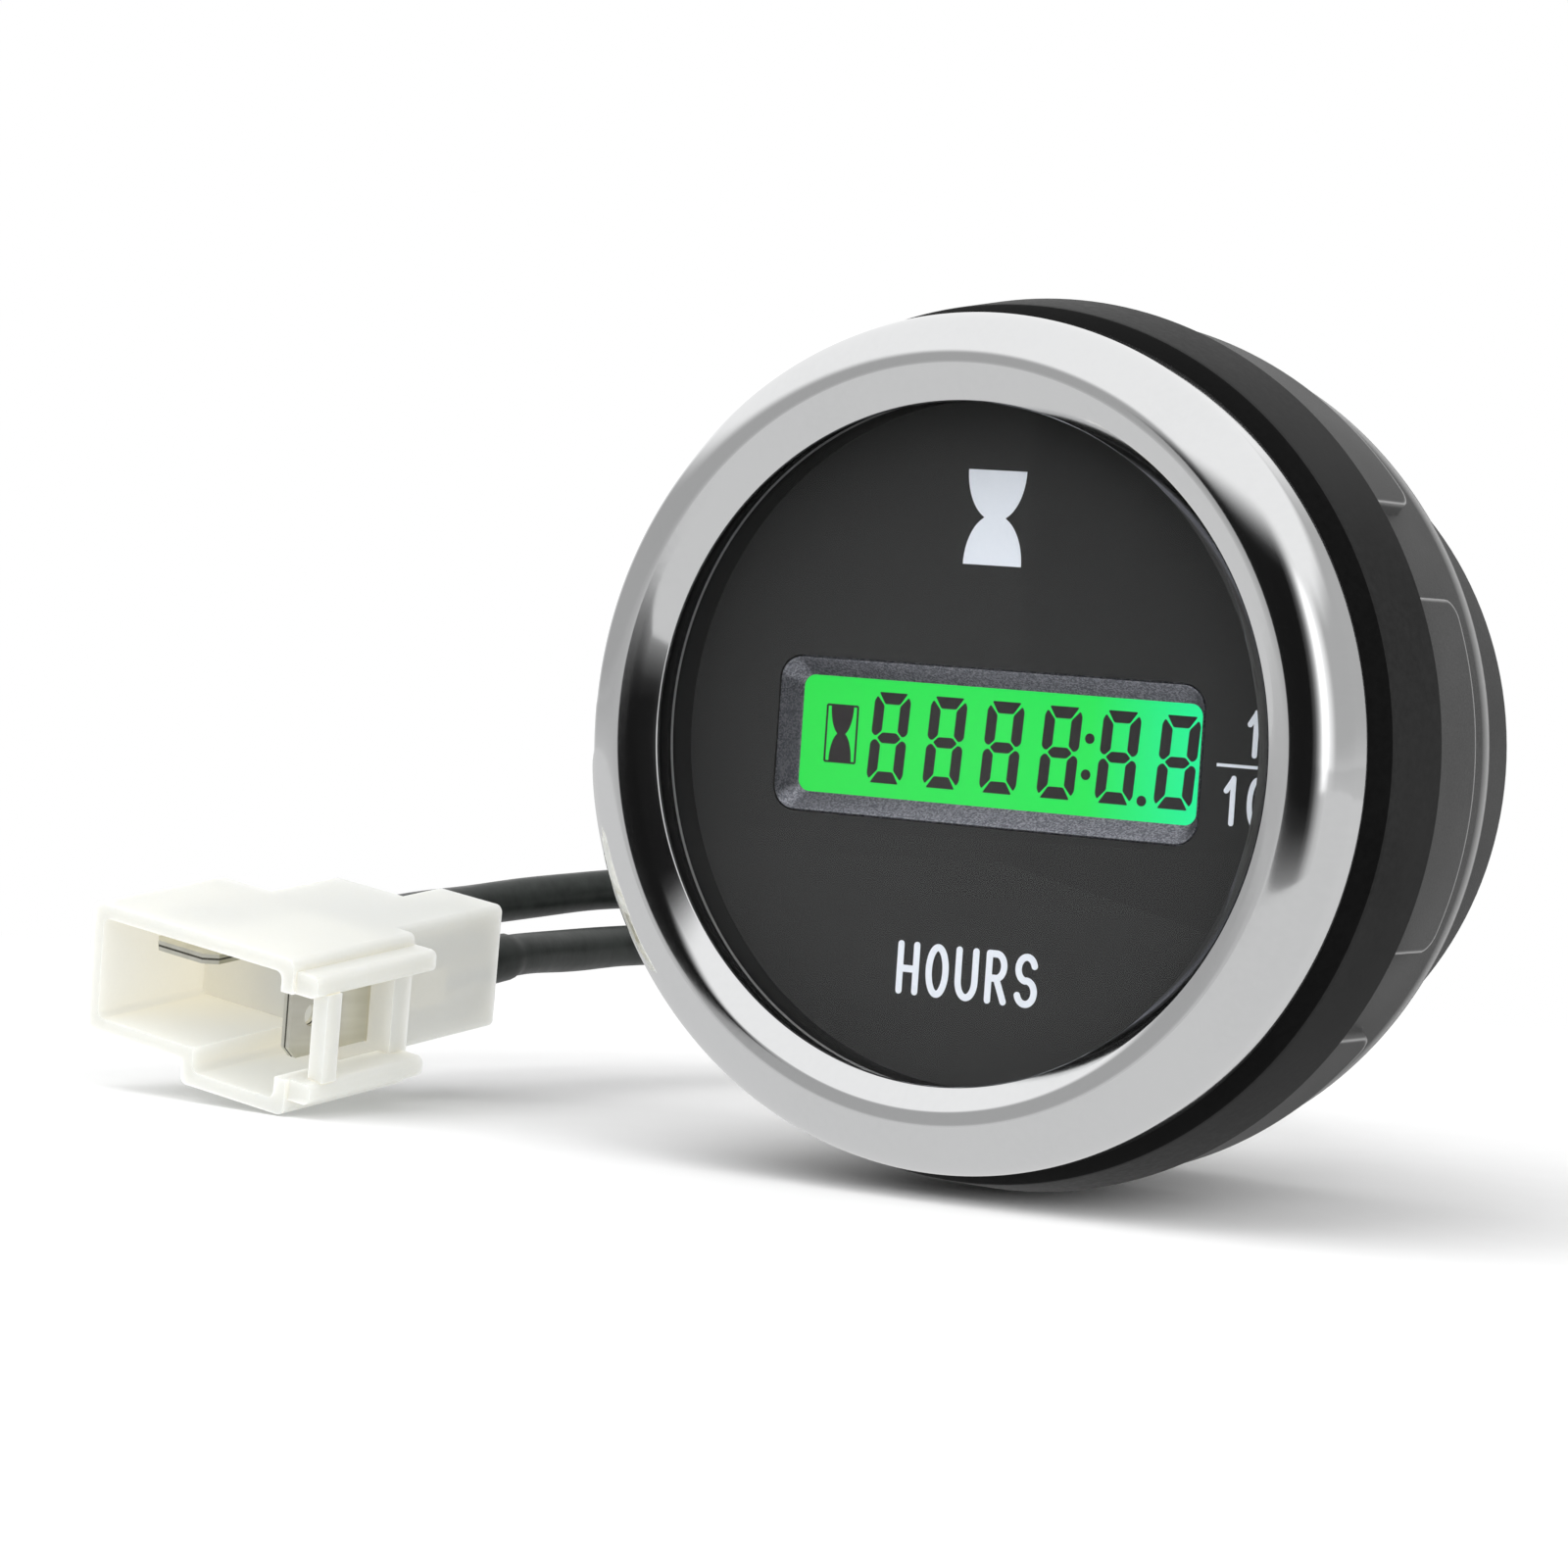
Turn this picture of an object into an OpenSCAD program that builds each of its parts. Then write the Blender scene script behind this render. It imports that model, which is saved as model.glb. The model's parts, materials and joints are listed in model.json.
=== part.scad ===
// Round panel hour meter with a chrome bezel, a lit display, a lock ring and two plugged leads.
// The meter's axis lies along Y: the dial looks to -Y, +Z is up, and the origin is the centre
// of the gasket's rear face, which sits on the panel. Millimetres.

/* [Bezel] */
// Outside diameter of the chrome bezel
bezel_d = 60; // [58.5:0.5:61]
// Diameter of the bezel's inner lip, the clear view of the dial
lip_d = 47.6; // [45:0.2:48.2]
// Diameter of the bezel's crest, its foremost ring
crest_d = 53.2; // [53.2:0.2:54.8]
// Sheet thickness of the bezel
bezel_t = 0.6; // [0.4:0.05:0.7]
// How far the lip lies behind the crest
lip_drop = 1.3; // [0.8:0.1:1.8]
// Inner diameter of the edge that is rolled in behind the case flange
rolled_d = 56; // [54.5:0.5:57]

/* [Lens and dial] */
// Thickness of the clear lens
lens_t = 1.2; // [0.8:0.1:2]
// Diameter of the clear lens
lens_d = 57; // [55:0.5:57.4]
// Thickness of the lens seal
seal_t = 0.5; // [0.3:0.1:0.8]
// Height of the black ring between lens and dial
spacer_h = 3.9; // [3:0.1:4.5]
// Inner diameter of the black ring at the dial
spacer_in_d = 48.4; // [47.6:0.2:48.8]
// Inner diameter of the black ring at the lens
spacer_step_d = 49.2; // [48.9:0.1:49.5]
// Height of the wider step of the black ring
spacer_step_h = 1.3; // [0.8:0.1:2]
// Diameter of the dial plate
dial_d = 50; // [49.8:0.1:50.2]
// Thickness of the dial plate
dial_t = 0.8; // [0.6:0.1:1.2]

/* [Display] */
// Width of the window at the dial's face
window_w = 34; // [32:0.5:35]
// Height of the window at the dial's face
window_h = 11.2; // [10.5:0.1:12]
// Corner radius of the window at the dial's face
window_r = 1.8; // [1:0.1:2.5]
// Width of the lit view at the bottom of the bevel
view_w = 31.9; // [30:0.1:32]
// Height of the lit view at the bottom of the bevel
view_h = 8.4; // [8:0.1:9]
// Corner radius of the lit view
view_r = 0.9; // [0.5:0.1:1.5]
// Depth of the bevel from the dial's face to the display glass
bevel_depth = 1.8; // [1.5:0.1:2.2]
// How far the display's centre lies below the meter's axis
view_drop = 0.25; // [0:0.05:0.5]
// Width of the frame's lip behind the dial plate
frame_lip = 1.5; // [1:0.1:2]
// Width of the display glass
glass_w = 35; // [34:0.2:36]
// Height of the display glass
glass_h = 12.4; // [11.5:0.1:13]
// Thickness of each of the two plates of the display glass
plate_t = 1.1; // [0.7:0.1:1.2]
// Width of the contact ledge along the glass
ledge_w = 1.5; // [1.2:0.1:1.8]
// Thickness of the light guide
guide_t = 3; // [2.4:0.1:4]
// Width of the holder's wall round the glass
holder_wall = 1.7; // [1.2:0.1:1.8]

/* [Case] */
// Outside diameter of the case over its thread
thread_d = 52.3; // [52.1:0.1:52.5]
// Outside diameter of the plain rear end of the case
case_d = 52; // [51.5:0.1:52]
// Depth of the case behind the panel seat
case_depth = 25.6; // [25:0.2:32]
// Length of the thread behind the panel seat
thread_len = 16; // [14:0.5:18]
// Width of the relief groove at the end of the thread
relief_w = 1; // [0.6:0.1:1.5]
// Depth of the relief groove at the end of the thread
relief_depth = 0.5; // [0.3:0.1:0.8]
// Inside diameter of the case
case_in_d = 48.8; // [48.4:0.1:49]
// Thickness of the rear wall
rear_t = 2; // [1.5:0.1:2.5]
// Thickness of the front flange that the bezel grips
flange_t = 1.1; // [0.9:0.1:1.5]
// Chamfer of the case's rear edge
rear_chamfer = 0.6; // [0.3:0.1:1]

/* [Gasket] */
// Height of the panel gasket
gasket_h = 8.5; // [7.5:0.1:9]
// Diameter of the gasket at the panel
gasket_rear_d = 63.6; // [63:0.1:66]
// Diameter where the gasket's front bevel starts
gasket_mid_d = 61.8; // [61:0.1:62.4]
// Diameter of the gasket's front edge, under the bezel
gasket_front_d = 59.8; // [59:0.1:60.4]
// Height of the gasket's front bevel
gasket_bevel_h = 2; // [1.5:0.1:3]

/* [Lock ring] */
// Outside diameter of the lock ring
ring_d = 60.5; // [59:0.1:61]
// Length of the lock ring
ring_len = 12; // [11:0.1:13.5]
// Diameter over the grip pads
pad_d = 62.3; // [61.6:0.1:63]
// Length of the grip pads
pad_len = 7.1; // [6:0.1:9]
// Angle that one grip pad covers, in degrees
pad_angle = 47; // [36:1:52]
// Number of grip pads
pad_count = 6; // [4:1:6]
// Radius of the pads' rear corners
pad_corner_r = 1.6; // [0.8:0.1:2.5]
// Chamfer of the lock ring's rear edge
ring_chamfer = 0.5; // [0.2:0.1:1]

/* [Board] */
// Gap between the circuit board and the case round it
board_gap = 0.6; // [0.4:0.1:0.8]
// Thickness of the circuit board
board_t = 1.6; // [1:0.1:2]
// Distance of the board screws from the inside of the case
screw_inset = 3; // [2.8:0.1:3.6]
// Shank diameter of the board screws
screw_d = 2.2; // [1.8:0.1:2.4]
// Length of the board screws under the head
screw_len = 8; // [6:0.5:12]
// Diameter of the case's screw bosses
boss_d = 5; // [4.6:0.1:5.2]

/* [Leads] */
// Outside diameter of each lead
lead_d = 3.5; // [3:0.1:3.6]
// Distance between the two leads at the grommet
lead_pitch = 4.2; // [4:0.1:4.6]
// How far the middle of the grommet lies below the axis
grommet_drop = 9; // [8.5:0.1:10]
// Length of the grommet's nose
nose_len = 3.2; // [2.5:0.1:4]

/* [Connector] */
// Width of the connector's hood
hood_w = 20.4; // [20:0.1:22]
// Depth of the hood from the mating face
hood_l = 13.8; // [13.4:0.1:15]
// Height of the hood's shallow side
hood_h = 10.1; // [10.1:0.1:10.8]
// Height of the hood's deep side
hood_deep_h = 12; // [11.8:0.1:13]
// Width of the hood's shallow side
hood_step_w = 10; // [9:0.1:10.6]
// Wall thickness of the hood
hood_wall = 1.1; // [0.8:0.1:1.2]
// Depth of the socket from the mating face
socket_l = 11.8; // [11:0.1:12]
// Length of the housing to the end of the first terminal
body_l = 21.6; // [21:0.1:23]
// Length of the housing to the end of the second terminal
tail_l = 26.2; // [26:0.1:28]
// Height of the housing behind the hood
body_h = 9.9; // [9.6:0.1:10.1]
// Width of a terminal's tab
tab_w = 6.3; // [6.1:0.1:6.4]
// Thickness of a terminal's tab
tab_t = 0.8; // [0.6:0.1:1]
// Outside diameter of a terminal's crimp barrel
barrel_d = 3.4; // [3.2:0.1:3.6]
// How far the latch guard stands out from the hood
guard_out = 2.1; // [1.6:0.1:2.6]

/* [Hidden] */
$fn = 96;

// Small shared clearances: a loose fit, a running fit on the case and a cut's overshoot
fit = 0.1;
ring_fit = 0.25;
over = 1;

// Heights along the meter's axis, counted forward from the panel seat
flange_z = gasket_h + bezel_t;
seal_z = flange_z + flange_t;
lens_z = seal_z + seal_t;
lip_z = lens_z + lens_t + bezel_t;
crest_z = lip_z + lip_drop;
dial_z = lens_z - spacer_h;
seat_z = dial_z - dial_t;
glass_z = dial_z - bevel_depth;
ledge_z = glass_z - plate_t;
guide_z = ledge_z - plate_t;
board_z = guide_z - guide_t;
board_back_z = board_z - board_t;
rear_z = -case_depth;
floor_z = rear_z + rear_t;

// Radii worked out from the diameters and fits
shoulder_r = (bezel_d - crest_d) / 2;
bezel_in_d = bezel_d - 2 * bezel_t;
flange_d = bezel_in_d - 2 * fit;
seat_d = dial_d + 2 * fit;
passage_d = max(thread_d, case_d);
gasket_in_d = passage_d + 2 * fit;
ring_in_d = passage_d + 2 * ring_fit;
ring_edge = min(ring_chamfer, (ring_d - ring_in_d) / 6);
ring_gap = 0.1;
gasket_edge = 0.4;

// Display stack behind the dial
holder_w = glass_w + 2 * fit + 2 * holder_wall;
holder_h = glass_h + 2 * fit + 2 * holder_wall;
led_t = 1.5;
led_w = 3;
led_h = 1.8;
guide_w = glass_w - 2 * (led_t + 2 * fit);
guide_h = glass_h - 2 * (ledge_w + fit);

// Board screws, their bosses and the bore that each one bites in
board_d = case_in_d - 2 * board_gap;
screw_at = case_in_d / 2 - screw_inset;
screw_angles = [90, 235, 305];
screw_head_d = 4.2;
screw_head_h = 1.5;
screw_fit = 0.05;
board_hole_d = screw_d + 0.4;
pilot_depth = screw_len - board_t + 1;
boss_rib_t = 1.6;

// Pieces under the board: their places seen from the front, and the chips' sizes
controller_at = [0, 8];
controller_w = 10;
controller_pins = 11;
controller_pitch = 0.8;
memory_at = [-12, 7];
memory_w = 4;
memory_l = 5;
memory_pins = 4;
memory_pitch = 1.27;
chip_h = 1.6;
regulator_at = [12.5, 7];
crystal_at = [-12, -3];
capacitor_at = [11.5, -6.5];
diode_at = [4, -3.2];

// Grommet in the rear wall: neck, flanges and nose
grommet_neck_r = 3.1;
grommet_flange_r = 4.1;
grommet_flange_t = 1.6;
lead_hole_r = lead_d / 2 + 0.05;
nose_z = rear_z - grommet_flange_t - nose_len;
lead_ys = [-grommet_drop + lead_pitch / 2, -grommet_drop - lead_pitch / 2];

// Connector: edge rounding, stepped plan, terminals and latch guard
hood_edge_r = 0.6;
body_in = 5.2;
tail_in = 12;
body_out = 18.8;
flat_tab_at = [7.5, -2.6];
flat_tab_tip = 1.8;
flat_barrel_drop = 1;
upright_tab_at = [17.6, -5.6];
upright_tab_tip = 2.9;
upright_barrel_drop = 1.7;
barrel_len = 6;
neck_w = 2.4;
tab_end_l = socket_l + 0.9;
tab_chamfer = 0.9;
tab_hole_d = 1.7;
tab_hole_at = 2.4;
guard_wall = 1.4;
guard_top = [-0.9, -2.6];
guard_low = [-9.2, -10.8];
guard_l = 13.4;
guard_start = 0.4;
bar_start = 1.7;
bar_l = 1.6;

// Where the connector lies: its top left corner at the mating face, and how it is turned
connector_at = [-71.7, -15, -17.3];
connector_turn = -5;
connector_dip = 7.5;
connector_lean = 7.5;

// Routes of the two leads, from the grommet's nose round the back to the connector
upper_route = [
    [0, 33.3, -6.9], [-0.5, 37.8, -7.1], [-2.5, 44.3, -8], [-7, 50.8, -9.2], [-13.5, 55.8, -10.6],
    [-21, 58.8, -12], [-29, 59.3, -13.2], [-37, 57.3, -14.1], [-44, 53.3, -14.8],
    [-49.5, 47.8, -15.3], [-54, 41.8, -15.7], [-57.5, 35.3, -16.1], [-60, 28.3, -16.8],
    [-61.5, 21.3, -17.5]
];
lower_route = [
    [0, 33.3, -11.1], [-0.5, 37.8, -11.3], [-2.5, 43.8, -12], [-6.5, 49.8, -13.3], [-12.5, 54.8, -14.8],
    [-20, 57.8, -16.3], [-28, 58.3, -17.6], [-36, 56.3, -18.6], [-43, 51.8, -19.4],
    [-48.5, 45.8, -19.9], [-52, 38.8, -20.2], [-53.8, 31.8, -20.4], [-54.2, 24.8, -20.6]
];
lead_sides = 8;
lead_end_l = 6;

// Points of the connector in the part's frame
function turn_x(p, a) = [p.x, p.y * cos(a) - p.z * sin(a), p.y * sin(a) + p.z * cos(a)];
function turn_y(p, a) = [p.x * cos(a) + p.z * sin(a), p.y, p.z * cos(a) - p.x * sin(a)];
function turn_z(p, a) = [p.x * cos(a) - p.y * sin(a), p.x * sin(a) + p.y * cos(a), p.z];
function on_connector(p) =
    connector_at + turn_z(turn_x(turn_y(p, connector_lean), connector_dip), connector_turn);

// Sweep of a round tube along a route: one ring of points for each point of the route
function unit(v) = v / norm(v);
function heading(route, i) =
    i == 0 ? unit(route[1] - route[0])
    : i == len(route) - 1 ? unit(route[i] - route[i - 1])
    : unit(unit(route[i + 1] - route[i]) + unit(route[i] - route[i - 1]));
function sideways(t) = unit(cross(t, [0, 0, 1]));
function ring_point(p, t, r, a) = p + r * (cos(a) * sideways(t) + sin(a) * cross(sideways(t), t));
function tube_points(route, r, n) = [
    for (i = [0 : len(route) - 1])
        for (k = [0 : n - 1])
            ring_point(route[i], heading(route, i), r, 360 * k / n)
];
function tube_faces(rings, n) = concat(
    [[for (k = [n - 1 : -1 : 0]) k]],
    [
        for (i = [0 : rings - 2])
            for (k = [0 : n - 1])
                [i * n + k, i * n + (k + 1) % n, (i + 1) * n + (k + 1) % n, (i + 1) * n + k]
    ],
    [[for (k = [0 : n - 1]) (rings - 1) * n + k]]
);

module tube(route, d, n) {
    polyhedron(points = tube_points(route, d / 2, n), faces = tube_faces(len(route), n));
}

// Turns a shape drawn along +Z, dial side up, to face -Y with its Y upwards
module on_axis() {
    rotate([90, 0, 0])
        children();
}

module ring(outer_d, inner_d, z0, z1) {
    translate([0, 0, z0])
        difference() {
            cylinder(h = z1 - z0, d = outer_d);
            translate([0, 0, -over])
                cylinder(h = z1 - z0 + 2 * over, d = inner_d);
        }
}

// Rectangle round the origin with round corners
module round_rect(w, h, r) {
    square([w - 2 * r, h], center = true);
    square([w, h - 2 * r], center = true);
    for (x = [-1, 1])
        for (y = [-1, 1])
            translate([x * (w / 2 - r), y * (h / 2 - r)])
                circle(r = r);
}

// Block round the display's centre between two heights
module display_block(w, h, z0, z1) {
    translate([-w / 2, -view_drop - h / 2, z0])
        cube([w, h, z1 - z0]);
}

// Two round ends joined by straight sides, one end for each lead
module lead_pair(r) {
    for (y = lead_ys)
        translate([0, y])
            circle(r = r);
    translate([-r, lead_ys[1]])
        square([2 * r, lead_pitch]);
}

// Section of the bezel's sheet: a slope from the lip, tangent to the round crest, the shoulder's
// arc, a straight side and the edge that is rolled in behind the case flange
module bezel_section() {
    crest = [crest_d / 2, crest_z - shoulder_r];
    to_lip = [lip_d / 2, lip_z] - crest;
    lean = atan2(to_lip.y, to_lip.x) - acos(shoulder_r / norm(to_lip));
    outward = [cos(lean), sin(lean)];
    arc_steps = 24;
    arc = [for (k = [0 : arc_steps]) lean * (1 - k / arc_steps)];
    wall_r = bezel_d / 2;
    polygon(concat(
        [crest + to_lip],
        [for (a = arc) crest + shoulder_r * [cos(a), sin(a)]],
        [[wall_r, gasket_h], [rolled_d / 2, gasket_h], [rolled_d / 2, flange_z]],
        [[wall_r - bezel_t, flange_z]],
        [for (k = [arc_steps : -1 : 0]) crest + (shoulder_r - bezel_t) * [cos(arc[k]), sin(arc[k])]],
        [crest + to_lip - bezel_t * outward]
    ));
}

module bezel() {
    color([0.8, 0.81, 0.82])
        on_axis()
            rotate_extrude()
                bezel_section();
}

module lens() {
    color([0.85, 0.9, 0.92, 0.3])
        on_axis()
            translate([0, 0, lens_z])
                cylinder(h = lens_t, d = lens_d);
}

module lens_seal() {
    color([0.08, 0.08, 0.08])
        on_axis()
            ring(lens_d, seat_d + 2 * fit, seal_z, lens_z);
}

module dial_spacer() {
    color([0.06, 0.06, 0.06])
        on_axis()
            difference() {
                ring(dial_d, spacer_in_d, dial_z, lens_z);
                translate([0, 0, lens_z - spacer_step_h])
                    cylinder(h = spacer_step_h + over, d = spacer_step_d);
            }
}

module dial_plate() {
    color([0.2, 0.2, 0.2])
        on_axis()
            difference() {
                translate([0, 0, seat_z])
                    cylinder(h = dial_t, d = dial_d);
                translate([0, -view_drop, seat_z - over])
                    linear_extrude(dial_t + 2 * over)
                        round_rect(window_w, window_h, window_r);
            }
}

module display_frame() {
    frame_w = window_w - 2 * fit;
    frame_h = window_h - 2 * fit;
    skin = 0.01;
    color([0.36, 0.36, 0.4])
        on_axis()
            translate([0, -view_drop, 0])
                difference() {
                    union() {
                        translate([0, 0, glass_z])
                            linear_extrude(bevel_depth)
                                round_rect(frame_w, frame_h, window_r - fit);
                        translate([0, 0, glass_z])
                            linear_extrude(seat_z - glass_z)
                                round_rect(window_w + 2 * frame_lip, window_h + 2 * frame_lip, window_r);
                    }
                    hull() {
                        translate([0, 0, glass_z - skin])
                            linear_extrude(skin)
                                round_rect(view_w, view_h, view_r, $fn = 32);
                        translate([0, 0, dial_z])
                            linear_extrude(skin)
                                round_rect(frame_w - 2 * fit, frame_h - 2 * fit, window_r - 2 * fit, $fn = 32);
                    }
                }
}

module display_glass() {
    color([0.24, 0.87, 0.36])
        on_axis() {
            display_block(glass_w, glass_h, ledge_z, glass_z);
            display_block(glass_w, glass_h - 2 * ledge_w, guide_z, ledge_z);
        }
}

module light_guide() {
    color([0.9, 0.95, 0.9])
        on_axis()
            display_block(guide_w, guide_h, board_z, guide_z);
}

module backlight_leds() {
    color([0.95, 0.9, 0.6])
        on_axis()
            for (side = [-1, 1])
                translate([side * (guide_w / 2 + fit + led_t / 2), -view_drop, board_z])
                    translate([-led_t / 2, -led_w / 2, 0])
                        cube([led_t, led_w, led_h]);
}

module contact_strips() {
    strip_w = ledge_w - fit;
    strip_l = glass_w - 2 * fit;
    color([0.75, 0.45, 0.55])
        on_axis()
            for (side = [-1, 1])
                translate([-strip_l / 2, -view_drop + side * (glass_h - strip_w) / 2 - strip_w / 2, board_z])
                    cube([strip_l, strip_w, ledge_z - board_z]);
}

module display_holder() {
    color([0.9, 0.9, 0.88])
        on_axis()
            difference() {
                display_block(holder_w, holder_h, board_z, glass_z);
                display_block(glass_w + 2 * fit, glass_h + 2 * fit, board_z - over, glass_z + over);
            }
}

module at_screws() {
    for (a = screw_angles)
        rotate(a)
            translate([screw_at, 0, 0])
                children();
}

module circuit_board() {
    color([0.1, 0.4, 0.2])
        on_axis()
            difference() {
                translate([0, 0, board_back_z])
                    cylinder(h = board_t, d = board_d);
                at_screws()
                    translate([0, 0, board_back_z - over])
                        cylinder(h = board_t + 2 * over, d = board_hole_d);
            }
}

module board_screws() {
    slot_w = 0.6;
    slot_depth = 0.7;
    color([0.75, 0.75, 0.75])
        on_axis()
            at_screws()
                difference() {
                    union() {
                        translate([0, 0, board_z])
                            cylinder(h = screw_head_h, d = screw_head_d);
                        translate([0, 0, board_z - screw_len])
                            cylinder(h = screw_len + fit, d = screw_d);
                    }
                    for (turn = [0, 90])
                        rotate(turn)
                            translate([-screw_head_d / 4, -slot_w / 2, board_z + screw_head_h - slot_depth])
                                cube([screw_head_d / 2, slot_w, slot_depth + over]);
                }
}

// Chip body with straight rows of pins on two or four sides, hung under the board
module chip(w, l, h, pins, sides, pitch) {
    pin_w = pitch * 0.4;
    pin_out = 1;
    pin_t = 0.25;
    translate([-w / 2, -l / 2, -h])
        cube([w, l, h]);
    for (side = [0 : sides - 1])
        rotate(side * 360 / sides)
            for (k = [0 : pins - 1])
                translate([w / 2 - pin_t, (k - (pins - 1) / 2) * pitch - pin_w / 2, -pin_t])
                    cube([pin_out + pin_t, pin_w, pin_t]);
}

module on_board_back(at) {
    on_axis()
        translate([at.x, at.y, board_back_z])
            children();
}

module controller_chip() {
    color([0.12, 0.12, 0.12])
        on_board_back(controller_at)
            chip(controller_w, controller_w, chip_h, controller_pins, 4, controller_pitch);
}

module memory_chip() {
    color([0.12, 0.12, 0.12])
        on_board_back(memory_at)
            chip(memory_w, memory_l, chip_h, memory_pins, 2, memory_pitch);
}

module regulator() {
    body_w = 6.6;
    body_h2 = 6;
    body_t = 2.3;
    tab_l = 1.2;
    leg_l = 2.4;
    leg_w = 0.8;
    leg_t = 0.5;
    color([0.14, 0.14, 0.14])
        on_board_back(regulator_at) {
            translate([-body_w / 2, -body_h2 / 2, -body_t])
                cube([body_w, body_h2, body_t]);
            translate([-body_w / 2 + leg_t, body_h2 / 2, -leg_t])
                cube([body_w - 2 * leg_t, tab_l, leg_t]);
            for (side = [-1, 1])
                translate([side * body_w / 3 - leg_w / 2, -body_h2 / 2 - leg_l, -leg_t])
                    cube([leg_w, leg_l + leg_t, leg_t]);
        }
}

module crystal() {
    can_w = 10.4;
    can_r = 2.2;
    can_h = 3.4;
    rim = 0.4;
    color([0.8, 0.8, 0.8])
        on_board_back(crystal_at) {
            translate([0, 0, -can_h])
                linear_extrude(can_h)
                    round_rect(can_w, 2 * can_r, can_r - fit);
            translate([0, 0, -rim])
                linear_extrude(rim)
                    round_rect(can_w + 2 * rim, 2 * can_r + 2 * rim, can_r);
        }
}

module capacitor() {
    can_d = 6.3;
    can_h = 7.7;
    base_w = 6.6;
    base_h = 1;
    neck_z = 1.6;
    neck_depth = 0.3;
    color([0.7, 0.72, 0.75])
        on_board_back(capacitor_at)
            difference() {
                union() {
                    translate([0, 0, -can_h])
                        cylinder(h = can_h, d = can_d);
                    translate([-base_w / 2, -base_w / 2, -base_h])
                        cube([base_w, base_w, base_h]);
                }
                translate([0, 0, -neck_z - neck_depth])
                    rotate_extrude()
                        translate([can_d / 2, 0])
                            circle(r = neck_depth);
            }
}

module input_diodes() {
    diode_l = 4.3;
    diode_w = 2.6;
    diode_h = 2.2;
    foot = 0.4;
    color([0.15, 0.15, 0.15])
        for (side = [-1, 1])
            on_board_back([side * diode_at.x, diode_at.y]) {
                translate([-diode_w / 2, -diode_l / 2, -diode_h])
                    cube([diode_w, diode_l, diode_h]);
                translate([-diode_w / 4, -diode_l / 2 - foot, -foot])
                    cube([diode_w / 2, diode_l + 2 * foot, foot]);
            }
}

module board_leads() {
    color([0.1, 0.1, 0.1])
        on_axis()
            for (y = lead_ys)
                translate([0, y, nose_z])
                    cylinder(h = board_back_z - nose_z, d = lead_d);
}

module case_section() {
    difference() {
        union() {
            translate([0, rear_z])
                square([case_d / 2, case_depth]);
            translate([0, -thread_len])
                square([thread_d / 2, thread_len + flange_z + fit]);
            translate([0, flange_z])
                square([flange_d / 2, flange_t]);
        }
        translate([0, floor_z])
            square([case_in_d / 2, seal_z - floor_z + over]);
        translate([0, seat_z])
            square([seat_d / 2, seal_z - seat_z + over]);
        translate([case_d / 2 - relief_depth, -thread_len - relief_w])
            square([relief_depth + over, relief_w]);
        polygon([
            [case_d / 2 - rear_chamfer, rear_z],
            [case_d / 2 + over, rear_z - over],
            [case_d / 2 + over, rear_z + rear_chamfer + over]
        ]);
    }
}

module case_boss() {
    boss_h = board_back_z - floor_z;
    translate([0, 0, floor_z - fit])
        cylinder(h = boss_h + fit, d = boss_d);
    translate([0, -boss_rib_t / 2, floor_z - fit])
        cube([case_in_d / 2 - screw_at + fit, boss_rib_t, boss_h + fit]);
}

module case() {
    color([0.2, 0.2, 0.2])
        on_axis()
            difference() {
                union() {
                    rotate_extrude()
                        case_section();
                    at_screws()
                        case_boss();
                }
                at_screws()
                    translate([0, 0, board_back_z - pilot_depth])
                        cylinder(h = pilot_depth + over, d = screw_d + 2 * screw_fit);
                translate([0, 0, rear_z - over])
                    linear_extrude(rear_t + 2 * over)
                        lead_pair(grommet_neck_r);
            }
}

module panel_gasket() {
    color([0.09, 0.09, 0.09])
        on_axis()
            rotate_extrude()
                polygon([
                    [gasket_in_d / 2, 0],
                    [gasket_rear_d / 2 - gasket_edge, 0],
                    [gasket_rear_d / 2, gasket_edge],
                    [gasket_mid_d / 2, gasket_h - gasket_bevel_h],
                    [gasket_front_d / 2, gasket_h],
                    [gasket_in_d / 2, gasket_h]
                ]);
}

// One grip pad, centred on +X, with round rear corners
module grip_pad() {
    root_d = ring_d - 2 * fit;
    corner_a = 360 * pad_corner_r / (PI * pad_d);
    intersection() {
        ring(pad_d, root_d, -pad_len - over, -ring_gap);
        union() {
            translate([0, 0, -pad_len + pad_corner_r])
                rotate(-pad_angle / 2)
                    rotate_extrude(angle = pad_angle)
                        square([pad_d, pad_len - pad_corner_r]);
            translate([0, 0, -pad_len])
                rotate(-pad_angle / 2 + corner_a)
                    rotate_extrude(angle = pad_angle - 2 * corner_a)
                        square([pad_d, pad_len]);
            for (side = [-1, 1])
                rotate(side * (pad_angle / 2 - corner_a))
                    translate([0, 0, -pad_len + pad_corner_r])
                        rotate([0, 90, 0])
                            cylinder(h = pad_d, r = pad_corner_r);
        }
    }
}

module lock_ring() {
    color([0.3, 0.3, 0.3])
        on_axis() {
            rotate_extrude()
                polygon([
                    [ring_in_d / 2, -ring_gap],
                    [ring_d / 2, -ring_gap],
                    [ring_d / 2, -ring_len + ring_edge],
                    [ring_d / 2 - ring_edge, -ring_len],
                    [ring_in_d / 2 + ring_edge, -ring_len],
                    [ring_in_d / 2, -ring_len + ring_edge]
                ]);
            for (k = [0 : pad_count - 1])
                rotate(k * 360 / pad_count)
                    grip_pad();
        }
}

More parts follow.
